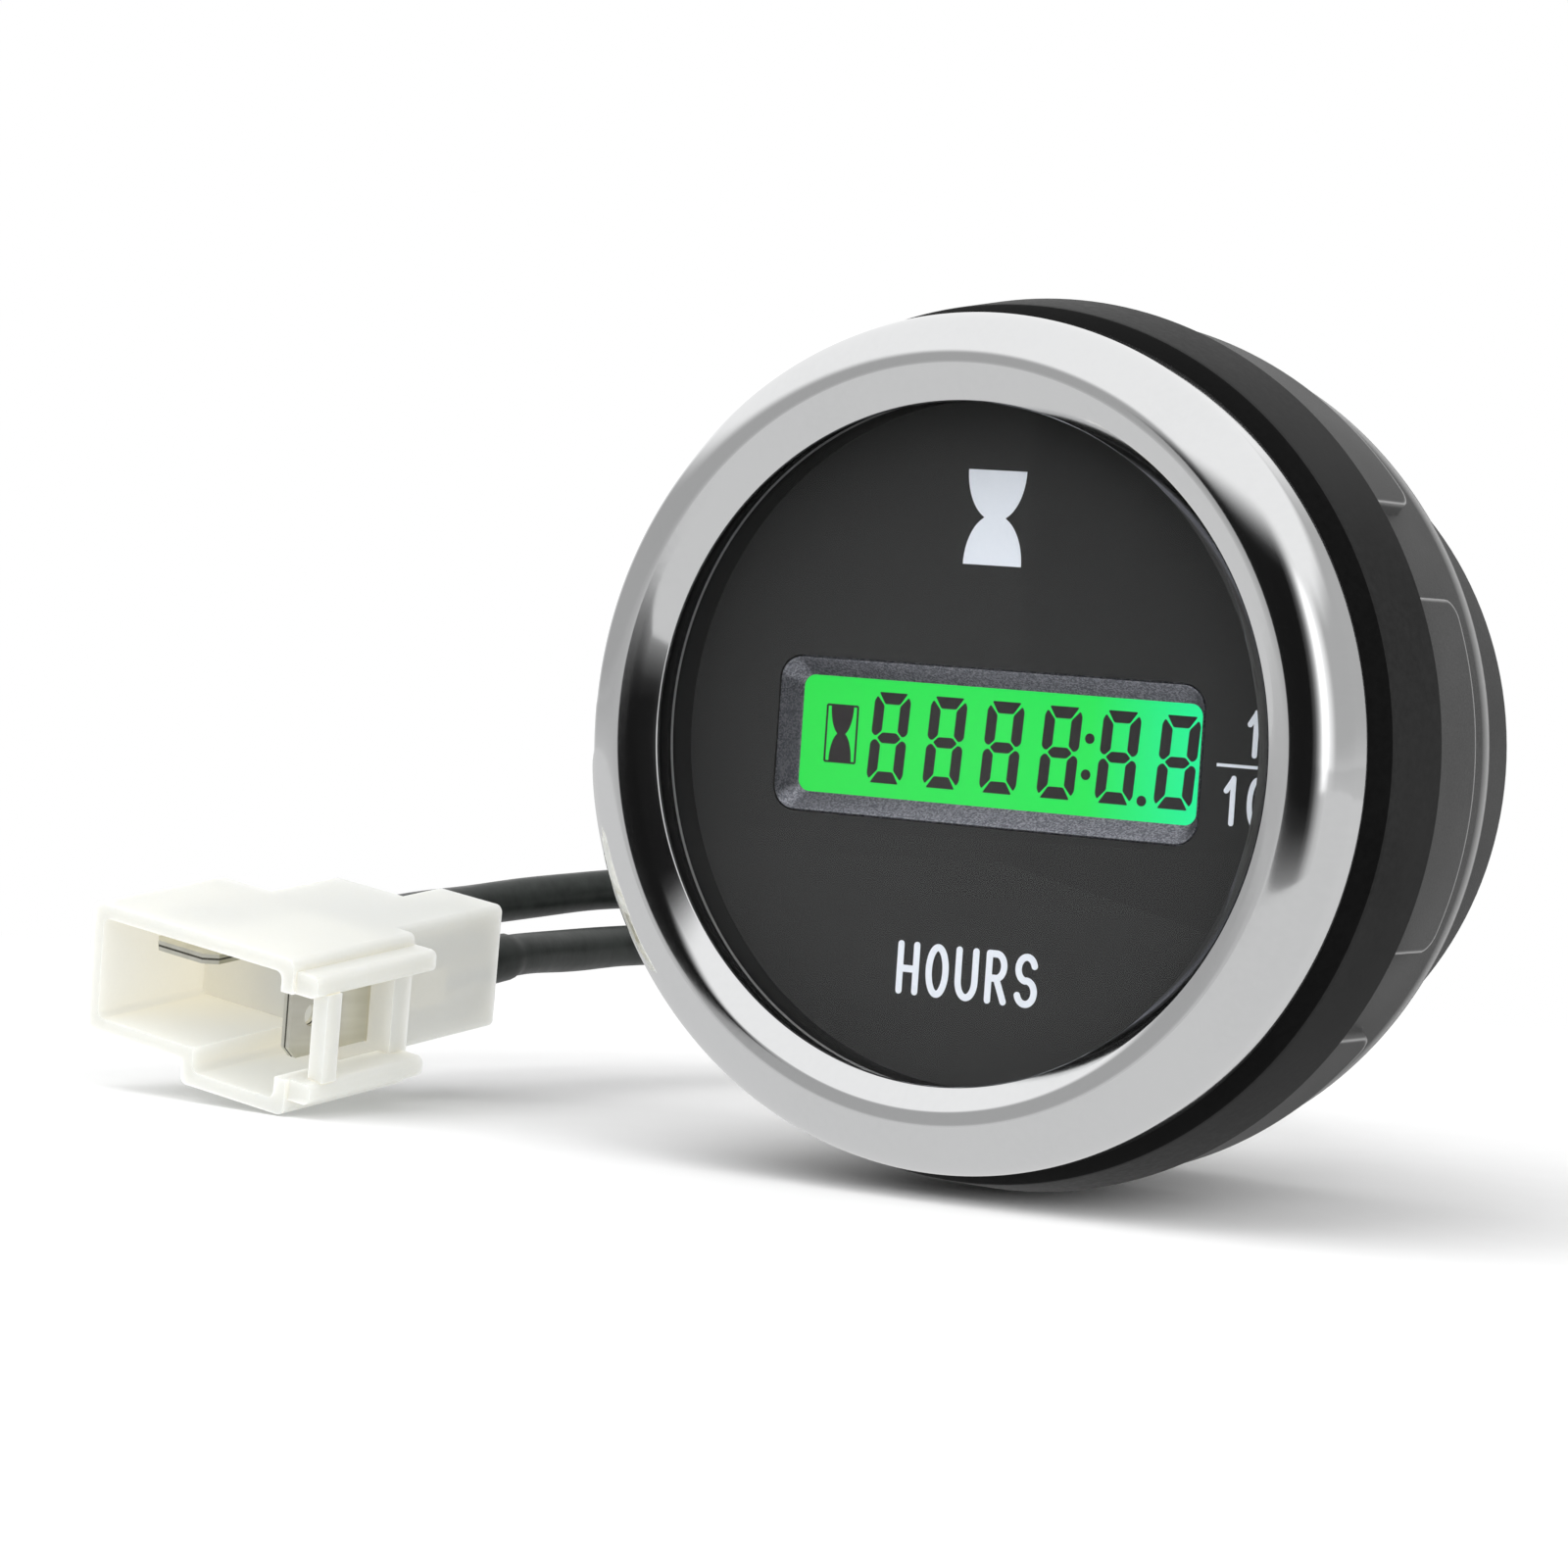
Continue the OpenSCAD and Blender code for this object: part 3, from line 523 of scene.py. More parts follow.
def frame_finish():
    """Grey metallic paint with fine flakes."""
    material, tree, shader = new_finish("frame_paint", {"Roughness": 0.34})
    cells = add_node(tree, "TexVoronoi", {"Vector": own_place(tree), "Scale": 1 / FLAKE_SIZE})
    split = add_node(tree, "SeparateColor", {"Color": cells.outputs["Color"]})
    flakes = spread(tree, split.outputs[0], 0.2, 1, 0, 1)
    colour = blend(tree, flakes, rgba((0.12, 0.124, 0.146)), rgba((0.34, 0.346, 0.38)))
    feed(tree, shader.inputs["Base Color"], colour)
    feed(tree, shader.inputs["Metallic"], spread(tree, flakes, 0, 1, 0.8, 0.95))
    normal = add_node(tree, "NewGeometry").outputs["Normal"]
    leaned = add_node(tree, "VectorMath", {0: normal, 1: FRAME_LEAN}, operation="ADD")
    level = add_node(tree, "VectorMath", {0: leaned.outputs["Vector"]}, operation="NORMALIZE")
    bump = add_bump(tree, shader, flakes, 0.2, 0.006)
    feed(tree, bump.inputs["Normal"], level.outputs["Vector"])
    return material


FINISH["frame_grey"] = frame_finish()
print("frame paint with flakes of", FLAKE_SIZE, "m")

# %% [markdown]
# ## Lens
# The lens is a clear pane. Glass would block the lamps' light and the reflections behind it, or make
# them slow to find, so shadow rays and mirrored rays go straight through. What the camera sees is still
# bent as in glass.

# %% Lens
LENS_IOR = 1.2


def lens_finish():
    """Clear pane that lets shadow rays and mirrored rays straight through."""
    material, tree, shader = new_finish("lens_clear", {"Transmission Weight": 1, "IOR": LENS_IOR})
    coat(tree, shader, HANDLING_MARKS, (0.99, 1, 1), (0.985, 0.995, 0.995), 0.5, (0.0, 0.001))
    ray = add_node(tree, "LightPath").outputs
    mirrored_ray = math_node(tree, "SUBTRACT", ray["Is Glossy Ray"], ray["Is Transmission Ray"])
    straight = math_node(tree, "MAXIMUM", ray["Is Shadow Ray"], mirrored_ray)
    clear = add_node(tree, "BsdfTransparent").outputs["BSDF"]
    mix_shaders(tree, straight, shader.outputs["BSDF"], clear)
    return material


FINISH["clear_lens"] = lens_finish()
print("lens with an index of", LENS_IOR)

# %% [markdown]
# ## Lock ring's plastic
# The lock ring has the case's grain, and a paler grey is painted along its moulded edges as a highlight,
# where a rounded edge would catch the light. The ring's mesh carries a value named edge, which is 1 on
# those edges, and the finish turns it into that painted highlight.

# %% Ring plastic
def ring_finish():
    """Grained plastic with a painted highlight along its moulded edges."""
    material, tree, shader = new_finish("ring_grain", SATIN)
    given = coat(tree, shader, MOULDED_GRAIN, 0.036, 0.078, 0.16, (0.5, 0.62))
    edge = add_node(tree, "Attribute", attribute_name="edge").outputs["Fac"]
    # The paler grey 0.34 is a painted highlight on the edges that the edge value marks.
    feed(tree, shader.inputs["Base Color"], blend(tree, edge, given["Colour"], rgba(0.34)))
    add_bump(tree, shader, given["Height"], 0.6, 0.03)
    return material


FINISH["ring"] = ring_finish()
print("ring plastic ready")

# %% [markdown]
# ## Connector's nylon
# White nylon lets light wander far inside its thin walls. Subsurface scattering gives the soft shading,
# and a faint painted glow stands for the light that comes through the walls. Inside the socket, where a
# point is shut in, both turn to cream, as painted warm light.

# %% Nylon
NYLON_REACH = 9 * MM
# A painted glow on the whole nylon, for light that comes through the walls.
NYLON_GLOW = 0.385
NYLON_DARK = (0.365, 0.372, 0.357)
NYLON_LIGHT = (0.385, 0.392, 0.377)
# Painted warm light: inside the socket the base colour and the glow turn cream.
PAINTED_CREAM_LIGHT = ((0.1, (1, 0.94, 0.8, 1)), (0.6, (1, 1, 1, 1)))
INNER_GLOW = ((0.1, (1, 0.94, 0.76, 1)), (0.75, (0.77, 0.78, 0.745, 1)))


def nylon_finish():
    """Milky nylon with a painted glow, and painted warm light that tints it cream inside the socket."""
    material, tree, shader = new_finish("connector_nylon", {
        "Subsurface Weight": 1, "Subsurface Radius": (1.0, 0.92, 0.78), "Subsurface Scale": 8 * MM,
        "Emission Strength": NYLON_GLOW,
    })
    given = coat(tree, shader, MOULDED_GRAIN, NYLON_DARK, NYLON_LIGHT, 0.25, (0.42, 0.52))
    shut_in = add_node(tree, "AmbientOcclusion", {"Distance": NYLON_REACH}, samples=8, only_local=True)
    cream = colour_ramp(tree, shut_in.outputs["AO"], PAINTED_CREAM_LIGHT)
    inner = colour_ramp(tree, shut_in.outputs["AO"], INNER_GLOW)
    feed(tree, shader.inputs["Emission Color"], inner)
    feed(tree, shader.inputs["Base Color"], blend(tree, 1, given["Colour"], cream, "MULTIPLY"))
    add_bump(tree, shader, given["Height"], 0.3, 0.01)
    return material


FINISH["nylon"] = nylon_finish()
print("finishes:", sorted(FINISH))

# %% [markdown]
# ## Dress the CAD nodes
# The record names a material slot for every node. Going through that list gives each solid its finish,
# also the ones inside the case, so the part looks right when someone takes it apart.

# %% Dress the CAD nodes
for row in frame["record"]["subparts"]:
    for place in frame["nodes"][row["node"]].material_slots:
        place.material = FINISH[row["material_slot"]]

# %% [markdown]
# ## Leads
# Two sleeved leads leave the grommet at the back one above the other, bend round behind the meter and
# come forward to the connector. The routes repeat the CAD's points. A smooth line goes through them,
# and the sleeve round it is a tube whose thickness varies a little, because a woven sleeve puckers.

# %% Lead routes
UPPER_ROUTE = [
    (0, 30.4, -6.9), (0, 33.3, -6.9), (-0.5, 37.8, -7.1), (-2.5, 44.3, -8), (-7, 50.8, -9.2),
    (-13.5, 55.8, -10.6), (-21, 58.8, -12), (-29, 59.3, -13.2), (-37, 57.3, -14.1), (-44, 53.3, -14.8),
    (-49.5, 47.8, -15.3), (-54, 41.8, -15.7), (-57.5, 35.3, -16.1), (-60, 28.3, -16.8),
    (-61.5, 21.3, -17.5), (-62.32, 12.24, -18.21), (-62.84, 6.32, -18.99),
]
LOWER_ROUTE = [
    (0, 30.4, -11.1), (0, 33.3, -11.1), (-0.5, 37.8, -11.3), (-2.5, 43.8, -12), (-6.5, 49.8, -13.3),
    (-12.5, 54.8, -14.8), (-20, 57.8, -16.3), (-28, 58.3, -17.6), (-36, 56.3, -18.6), (-43, 51.8, -19.4),
    (-48.5, 45.8, -19.9), (-52, 38.8, -20.2), (-53.8, 31.8, -20.4), (-54.2, 24.8, -20.6),
    (-53.86, 16.48, -20.66), (-54.37, 10.56, -21.44),
]


def smooth_line(points, steps):
    """A Catmull-Rom line through the points."""
    ends = [points[0] * 2 - points[1], *points, points[-1] * 2 - points[-2]]
    line = []
    for i in range(1, len(ends) - 2):
        p0, p1, p2, p3 = ends[i - 1:i + 3]
        for k in range(steps):
            t = k / steps
            line.append((p1 * 2 + (p2 - p0) * t + (p0 * 2 - p1 * 5 + p2 * 4 - p3) * t ** 2
                         + (p1 * 3 - p0 - p2 * 3 + p3) * t ** 3) / 2)
    return line + [points[-1]]


def route_length(line):
    """Length of a line of points."""
    return sum((b - a).length for a, b in zip(line, line[1:]))


# %% Leads
LEAD_D = 3.5 * MM
LEAD_SIDES = 20
LEAD_STEPS = 12
LEAD_CUFF = 5 * MM
CUFF_RISE = 0.12
CUFF_EDGE = 0.6 * MM
SHORT_FOLD = 2.1 * MM
LONG_FOLD = 5.3 * MM


def tube(line, radii, sides):
    """A closed tube round a line, with a radius for each point of it."""
    bm = bmesh.new()
    rings = []
    for i, here in enumerate(line):
        along = (line[min(i + 1, len(line) - 1)] - line[max(i - 1, 0)]).normalized()
        side = along.cross(Vector((0, 0, 1))).normalized()
        above = side.cross(along)
        spokes = [side * math.cos(a) + above * math.sin(a) for a in even_turn(sides)]
        rings.append([bm.verts.new(here + spoke * radii[i]) for spoke in spokes])
    skin(bm, rings, closed=False)
    bm.faces.new(rings[0][::-1])
    bm.faces.new(rings[-1])
    return bm


def pucker(line, phase, cuff):
    """Radii of a sleeve that gathers in soft, uneven folds, with a cuff over its last stretch."""
    radii = []
    run = 0
    whole = route_length(line)
    for i, here in enumerate(line):
        run += (here - line[max(i - 1, 0)]).length
        fold = math.sin(run / SHORT_FOLD + phase) * 0.5 + math.sin(run / LONG_FOLD + 2 * phase) * 0.5
        over = ramp(run - whole + cuff, CUFF_EDGE)
        radii.append(LEAD_D / 2 * (0.97 + 0.03 * fold + CUFF_RISE * over))
    return radii


def add_lead(name, route, phase, cuff):
    """One sleeved lead in place of its CAD solid; its line stays inside the route's farthest point."""
    line = smooth_line([Vector(p) * MM for p in route], LEAD_STEPS)
    farthest = max(p[1] for p in route) * MM
    for here in line:
        here.y = min(here.y, farthest)
    sleeve = tube(line, pucker(line, phase, cuff), LEAD_SIDES)
    made = piece(name + "_sleeve", sleeve, FINISH["lead"], stands_for=(name,))
    print(name, "is", round(route_length(line) / MM, 1), "mm long")
    return made, line


upper_lead, upper_line = add_lead("lead_upper", UPPER_ROUTE, 0.4, 0)
lower_lead, lower_line = add_lead("lead_lower", LOWER_ROUTE, 1.7, LEAD_CUFF)

# %% [markdown]
# ## Connector
# The white housing has thin moulded walls, so its edges are barely broken. A copy of the CAD solid with
# a small bevel catches the light as the real mould's rounded edges do. The tabs are folded from thin
# tinned strip, so a dark seam runs round the middle of their edge. Two cuts along the blade bound it.

# %% Connector and tabs
HOUSING_EDGE = 0.22 * MM
TAB_EDGE = 0.09 * MM
TAB_THICK = 0.8 * MM
SEAM_WIDTH = 0.16 * MM
SEAM_SHADE = moulded("tab_seam", (0.05, 0.048, 0.04), (0.09, 0.086, 0.07), 0.3, (0.5, 0.6), 0.004, DULL)


def add_seam(tab):
    """Darken the line round the middle of a tab's edge, where the folded strip meets itself."""
    bm = bmesh.new()
    bm.from_mesh(tab.data)
    broad = max(bm.faces, key=lambda face: face.calc_area())
    across = broad.normal.copy()
    middle = broad.calc_center_median().dot(across) - TAB_THICK / 2
    for side in (-1, 1):
        whole = bm.verts[:] + bm.edges[:] + bm.faces[:]
        at = across * (middle + side * SEAM_WIDTH / 2)
        bmesh.ops.bisect_plane(bm, geom=whole, plane_co=at, plane_no=across)
    bm.to_mesh(tab.data)
    bm.free()
    second_finish(tab, SEAM_SHADE, lambda at: abs(at.dot(across) - middle) < SEAM_WIDTH / 2)


housing = broken_edges("connector_shell", "connector_housing", FINISH["nylon"], HOUSING_EDGE)
flat_tab = broken_edges("tab_flat_plate", "tab_horizontal", FINISH["tinned"], TAB_EDGE)
upright_tab = broken_edges("tab_upright_plate", "tab_vertical", FINISH["tinned"], TAB_EDGE)
add_seam(flat_tab)
add_seam(upright_tab)

# %% [markdown]
# ## The cords' facts
# Each lead is stiff enough to hold the light connector off the floor. It leaves the grommet's nose at
# the back, and it ends in the connector, which goes with the lower lead.

# %% [markdown]
# ## Bezel
# The bezel is pressed from thin sheet and chromed. A steep slope rises from the lip, bends at a knee
# into a flatter crest, and a round shoulder carries on to a straight side and an edge rolled in behind.
# Polished metal shows every facet, so the section is spun in fine steps instead of using the CAD's mesh.

# %% Bezel
BEZEL_LOW, BEZEL_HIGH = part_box("bezel")
BEZEL_R = BEZEL_HIGH[0]
BEZEL_FRONT = BEZEL_LOW[1]
BEZEL_REAR = BEZEL_HIGH[1]
BEZEL_STEPS = 320
LIP_R = 23.8 * MM
LIP_BACK = 1.3 * MM
SHOULDER = 3.4 * MM
SHEET = 0.6 * MM
ROLLED_R = 28 * MM
SLOPE_LEAN = 130
CREST_LEAN = 98
KNEE_R = 0.5 * MM


def facing(lean):
    """Unit direction in the section, by its angle from straight outward towards the front."""
    return Vector((math.cos(math.radians(lean)), -math.sin(math.radians(lean))))


def bezel_section():
    """Closed section of the sheet: lip, slope, shoulder, side, rolled edge and the inside again."""
    centre = Vector((BEZEL_R - SHOULDER, BEZEL_FRONT + SHOULDER))
    lip = Vector((LIP_R, BEZEL_FRONT + LIP_BACK))
    slope_out = facing(SLOPE_LEAN)
    crest_out = facing(CREST_LEAN)
    crest = centre + crest_out * SHOULDER
    rise = Vector((-slope_out.y, slope_out.x))
    knee = lip + rise * ((crest - lip).dot(crest_out) / rise.dot(crest_out))
    slope = soften([lip, knee, crest], [0, KNEE_R, 0], 10)
    outer = arc(centre, SHOULDER, -CREST_LEAN, 0, 48)
    inner = arc(centre, SHOULDER - SHEET, 0, -CREST_LEAN, 24)
    edge = arc(lip - slope_out * SHEET / 2, SHEET / 2, 180 - SLOPE_LEAN, 360 - SLOPE_LEAN, 16)
    rolled = soften([
        (BEZEL_R, BEZEL_REAR - 1.2 * SHEET), (BEZEL_R, BEZEL_REAR), (ROLLED_R, BEZEL_REAR),
        (ROLLED_R, BEZEL_REAR - SHEET), (BEZEL_R - SHEET, BEZEL_REAR - SHEET),
    ], [0, 0.2 * MM, 0.1 * MM, 0.1 * MM, 0])
    return edge + slope[1:-1] + outer + rolled + inner


chrome_sheet = spin(bezel_section(), BEZEL_STEPS)
piece("bezel_ring", chrome_sheet, FINISH["chrome"], stands_for=("bezel",))

# %% [markdown]
# ## Spacer
# Behind the lens a black ring with one step keeps the dial back. Its step catches a thin line of
# light, so the edge is rounded here, and the faces on it take a paler grey as a painted highlight.

# %% Spacer
SPACER_LOW, SPACER_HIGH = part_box("dial_spacer")
SPACER_R = SPACER_HIGH[0]
SPACER_IN_R = 24.2 * MM
SPACER_STEP_R = 24.6 * MM
SPACER_STEP_Y = SPACER_LOW[1] + 1.3 * MM
STEP_ROUND = 0.12 * MM
# A paler grey painted on the step's rounded edge as a highlight.
STEP_HIGHLIGHT = moulded("spacer_step_highlight", 0.16, 0.2, 0.4, (0.35, 0.45), 0.001, SATIN)


def on_step_edge(at):
    """Whether a face lies on the rounded edge of the spacer's step."""
    off_edge = math.hypot(at.x, at.z) - SPACER_IN_R
    return off_edge < STEP_ROUND and abs(at.y - SPACER_STEP_Y) < STEP_ROUND


spacer_section = soften([
    (SPACER_R, SPACER_LOW[1]), (SPACER_STEP_R, SPACER_LOW[1]), (SPACER_STEP_R, SPACER_STEP_Y),
    (SPACER_IN_R, SPACER_STEP_Y), (SPACER_IN_R, SPACER_HIGH[1]), (SPACER_R, SPACER_HIGH[1]),
], [0, 0.1 * MM, 0.05 * MM, STEP_ROUND, 0, 0])
black_ring = spin(spacer_section)
spacer = piece("spacer_wall", black_ring, FINISH["dial_black"], stands_for=("dial_spacer",))
second_finish(spacer, STEP_HIGHLIGHT, on_step_edge)

# %% [markdown]
# ## Display frame
# The display's frame is a bevel between two round-cornered rectangles. A bevelled box would pinch the
# corners, so the frame is lofted with as many points in each corner as a smooth highlight needs.

# %% Display frame
DIAL_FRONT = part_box("dial_plate")[0][1]
GLASS_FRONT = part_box("display_glass")[0][1]
FRAME_SEAT = DIAL_FRONT + 0.8 * MM
DISPLAY_Z = -0.25
CORNER_STEPS = 12

# Width, height and corner radius in mm, and the depth, of each turn of the frame's skin
FRAME_TURNS = [
    (33.8, 11.0, 1.7, FRAME_SEAT), (33.8, 11.0, 1.7, DIAL_FRONT + 0.12 * MM),
    (33.75, 10.95, 1.67, DIAL_FRONT + 0.03 * MM), (33.68, 10.88, 1.65, DIAL_FRONT),
    (33.5, 10.66, 1.6, DIAL_FRONT + 0.1 * MM), (32.1, 8.68, 1.0, GLASS_FRONT - 0.2 * MM),
    (31.9, 8.4, 0.9, GLASS_FRONT - 0.04 * MM), (31.9, 8.4, 0.9, GLASS_FRONT),
    (37, 14.2, 1.8, GLASS_FRONT), (37, 14.2, 1.8, FRAME_SEAT),
]


def rim(bm, width, height, radius, y):
    """Points of a rectangle with round corners, at one depth."""
    outline = []
    for k, (sx, sz) in enumerate(((1, 1), (-1, 1), (-1, -1), (1, -1))):
        centre = (sx * (width / 2 - radius), DISPLAY_Z + sz * (height / 2 - radius))
        outline += arc(centre, radius, 90 * k, 90 * k + 90, CORNER_STEPS)
    return [bm.verts.new((x * MM, y, z * MM)) for x, z in outline]


bevel_skin = bmesh.new()
skin(bevel_skin, [rim(bevel_skin, *turn) for turn in FRAME_TURNS])
piece("frame_bevel", bevel_skin, FINISH["frame_grey"], stands_for=("display_frame",))

# %% [markdown]
# ## Segments of the display
# Seven dark segments make each digit, and the display has six digits, a colon, a point and a small
# sand glass. One digit is drawn from three outlines, which are mirrored to give the rest, and then
# leaned a little to the right. Sizes and places on the display and the dial are in millimetres.

# %% Segment helpers
INK_RISE = 0.03 * MM
SEGMENT_INK = moulded(
    "display_segment", (0.034, 0.030, 0.032), (0.042, 0.037, 0.039), 0.15, (0.4, 0.5), 0.002, DULL
)
DIGIT_LEAN = 0.055
DIGIT_Z = -0.18
TOP_BAR = [(-1.16, 3.25), (1.16, 3.25), (0.6, 2.41), (-0.6, 2.41)]
SIDE_BAR = [
    (-1.28, 2.98), (-0.65, 2.3), (-0.65, 0.5), (-1.06, 0.12), (-1.3, 0.2), (-1.47, 0.42), (-1.47, 2.62),
]
MIDDLE_BAR = [(-0.97, 0), (-0.57, 0.38), (0.57, 0.38), (0.97, 0), (0.57, -0.38), (-0.57, -0.38)]
SEGMENT_CORNER = 0.14


def ink(bm, outline, face, share=1):
    """Lay a thin print on a face; a share of the full rise keeps prints that cross apart."""
    slab(bm, [(x * MM, z * MM) for x, z in outline], face - INK_RISE * share, face - INK_RISE / 10)


def segment(points, x):
    """Add one segment, with round corners and leaned like its digit."""
    outline = soften(points, SEGMENT_CORNER)
    ink(segments, [(x + u + v * DIGIT_LEAN, DIGIT_Z + v) for u, v in outline], GLASS_FRONT)


def mirrored(points, across, upside):
    """An outline turned over to the other side or upside down."""
    return [(u * across, v * upside) for u, v in points]


def digit(x):
    """Seven segments round a middle."""
    segment(MIDDLE_BAR, x)
    for upside in (1, -1):
        segment(mirrored(TOP_BAR, 1, upside), x)
        for across in (1, -1):
            segment(mirrored(SIDE_BAR, across, upside), x)


def sand_glass(x, z, half_width, half_height, waist):
    """Two round bulbs that meet in a narrow waist, with flat ends."""
    steps = 14
    narrow = 1 - (waist / half_width) ** 2
    rise = [k / steps for k in range(-steps, steps + 1)]
    reach = [half_width * math.sqrt(1 - narrow * (1 - abs(t)) ** 2) for t in rise]
    right = [(x + w, z + t * half_height) for t, w in zip(rise, reach)]
    left = [(x - w, z + t * half_height) for t, w in zip(rise, reach)]
    return right + left[::-1]


def bar(x, z, half_width, half_height):
    """A plain upright or level bar round its middle."""
    left, right = x - half_width, x + half_width
    low, high = z - half_height, z + half_height
    return [(left, low), (right, low), (right, high), (left, high)]


# %% Segments
DIGIT_COUNT = 6
DIGIT_PITCH = 4.587
FIRST_DIGIT_X = -8.72
DOT_R = 0.37
DOTS = ((7.33, 0.97), (7.2, -1.56), (11.66, -3.04))
ICON_X, ICON_Z = -12.66, -0.15
ICON_HALF_W, ICON_HALF_H = 1.26, 2.03
ICON_HALF_LINE = 0.075
ICON_GLASS = (0.92, 1.98, 0.33)

segments = bmesh.new()
for k in range(DIGIT_COUNT):
    digit(FIRST_DIGIT_X + k * DIGIT_PITCH)
for dot in DOTS:
    ink(segments, arc(dot, DOT_R, 0, 345, 23), GLASS_FRONT)
for side in (-1, 1):
    upright = bar(ICON_X + side * ICON_HALF_W, ICON_Z, ICON_HALF_LINE, ICON_HALF_H)
    level = bar(ICON_X, ICON_Z + side * ICON_HALF_H, ICON_HALF_W, ICON_HALF_LINE)
    ink(segments, upright, GLASS_FRONT)
    ink(segments, level, GLASS_FRONT, 7 / 8)
ink(segments, sand_glass(ICON_X, ICON_Z, *ICON_GLASS), GLASS_FRONT, 3 / 4)
piece("display_segments", segments, SEGMENT_INK)

# %% [markdown]
# ## Prints on the dial
# The dial carries a sand glass above the display, the word HOURS below it and the fraction one tenth at
# the right. The letters are even strokes with round ends, so each is drawn as the path of a pen and
# then given its width. A font would bring other proportions.

# %% Pen strokes
def stroke(path, width):
    """Outline of a pen stroke with round ends along an open path."""
    path = [Vector(p) for p in path]
    last = len(path) - 1
    left, right = [], []
    for i, here in enumerate(path):
        along = (path[min(i + 1, last)] - path[max(i - 1, 0)]).normalized()
        across = Vector((-along.y, along.x)) * (width / 2)
        left.append(here + across)
        right.append(here - across)
    caps = []
    for tip, towards in ((path[-1], path[-1] - path[-2]), (path[0], path[0] - path[1])):
        heading = math.degrees(math.atan2(towards.y, towards.x))
        caps.append(arc(tip, width / 2, heading + 90, heading - 90, 8)[1:-1])
    return left + caps[0] + right[::-1] + caps[1]


# Pen paths in a letter cell that is one wide and one high
LETTERS = {
    "H": [[(0.08, 0), (0.08, 1)], [(0.92, 0), (0.92, 1)], [(0.08, 0.48), (0.92, 0.48)]],
    "O": [oval(0.5, 0.5, 0.44, 0.5, 90, 272), oval(0.5, 0.5, 0.44, 0.5, -92, 90)],
    "U": [[(0.06, 1)] + oval(0.5, 0.36, 0.44, 0.36, 180, 360) + [(0.94, 1)]],
    "R": [[(0.1, 0), (0.1, 1)], [(0.1, 1)] + oval(0.48, 0.74, 0.4, 0.26, 90, -90, 14) + [(0.1, 0.48)],
          [(0.5, 0.48), (0.92, 0)]],
    "S": [oval(0.5, 0.745, 0.42, 0.255, 18, 262, 20) + oval(0.5, 0.25, 0.44, 0.25, 88, -162, 20)],
    "1": [[(0.5, 1), (0.5, 0)], [(0.5, 0.98), (0.08, 0.72)]],
    "0": [oval(0.5, 0.5, 0.42, 0.5, 90, 272), oval(0.5, 0.5, 0.42, 0.5, -92, 90)],
}


def write(bm, word, corner, cell, pitch, pen):
    """Write a word from the lower left corner of its first letter."""
    for k, letter in enumerate(word):
        left = corner[0] + k * pitch + pen / 2
        low = corner[1] + pen / 2
        for order, path in enumerate(LETTERS[letter]):
            points = [(left + u * (cell[0] - pen), low + v * (cell[1] - pen)) for u, v in path]
            ink(bm, stroke(points, pen), DIAL_FRONT, 1 - order / 12)


# %% Prints
PRINT_INK = moulded("dial_print", (0.84, 0.88, 0.96), (0.9, 0.93, 1.0), 0.2, (0.5, 0.6), 0.004, DULL)
HOURS_PEN = 0.5
TENTH_PEN = 0.39
FRACTION_BAR = (20.5, -0.02, 2.4, 0.11)
SIGN_GLASS = (-0.38, 15.88, 2.31, 3.33, 0.84)

hours = bmesh.new()
write(hours, "HOURS", (-5.9, -18.08), (2.03, 3.8), 2.37, HOURS_PEN)
piece("print_hours", hours, PRINT_INK)
sign = bmesh.new()
ink(sign, sand_glass(*SIGN_GLASS), DIAL_FRONT)
piece("print_sand_glass", sign, PRINT_INK)
tenth = bmesh.new()
write(tenth, "1", (20.12, 0.6), (1.5, 3.3), 1, TENTH_PEN)
write(tenth, "10", (18.66, -4.13), (1.6, 3.45), 1.8, TENTH_PEN)
ink(tenth, bar(*FRACTION_BAR), DIAL_FRONT)
piece("print_one_tenth", tenth, PRINT_INK)

# %% [markdown]
# ## Gasket
# The gasket is soft moulded rubber with a bevelled front and a tapered side. It has no sharp corner,
# so every corner of its section is rounded before it is spun. The bevel lies in the bezel's shade, so a
# darker rubber is painted on it as shade.

# %% Gasket
GASKET_LOW, GASKET_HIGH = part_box("panel_gasket")
GASKET_R = GASKET_HIGH[0]
GASKET_FRONT = GASKET_LOW[1]
GASKET_IN_R = 26.25 * MM
GASKET_LAND = 0.4 * MM
BEVEL_R = 30.9 * MM
BEVEL_FACE_R = 29.9 * MM
BEVEL_DEEP = 2 * MM
SHADE_DEEP = 1.9 * MM
# A darker rubber painted on the bevel as the bezel's shade.
BEVEL_PAINTED_SHADE = moulded("gasket_bevel_painted_shade", 0.0035, 0.006, 0.5, (0.5, 0.6), 0.01, DEAD)
gasket_section = soften([
    (GASKET_IN_R, 0), (GASKET_R - GASKET_LAND, 0), (GASKET_R, -GASKET_LAND),
    (BEVEL_R, GASKET_FRONT + BEVEL_DEEP), (BEVEL_FACE_R, GASKET_FRONT), (GASKET_IN_R, GASKET_FRONT),
], [0, 0.15 * MM, 0.2 * MM, 0.35 * MM, 0.2 * MM, 0])
rubber_ring = spin(gasket_section)
gasket = piece("gasket_ring", rubber_ring, FINISH["rubber"], stands_for=("panel_gasket",))
second_finish(gasket, BEVEL_PAINTED_SHADE, lambda at: at.y < GASKET_FRONT + SHADE_DEEP)

# %% [markdown]
# ## Lock ring
# Six grip pads stand out of the lock ring, with round corners at the rear and a soft edge all round.
# The outside is one grid round the axis. The distance of each point to the pad's outline says how far
# it is raised, so the edge is smooth and even, which a cut and joined solid wouldn't give.

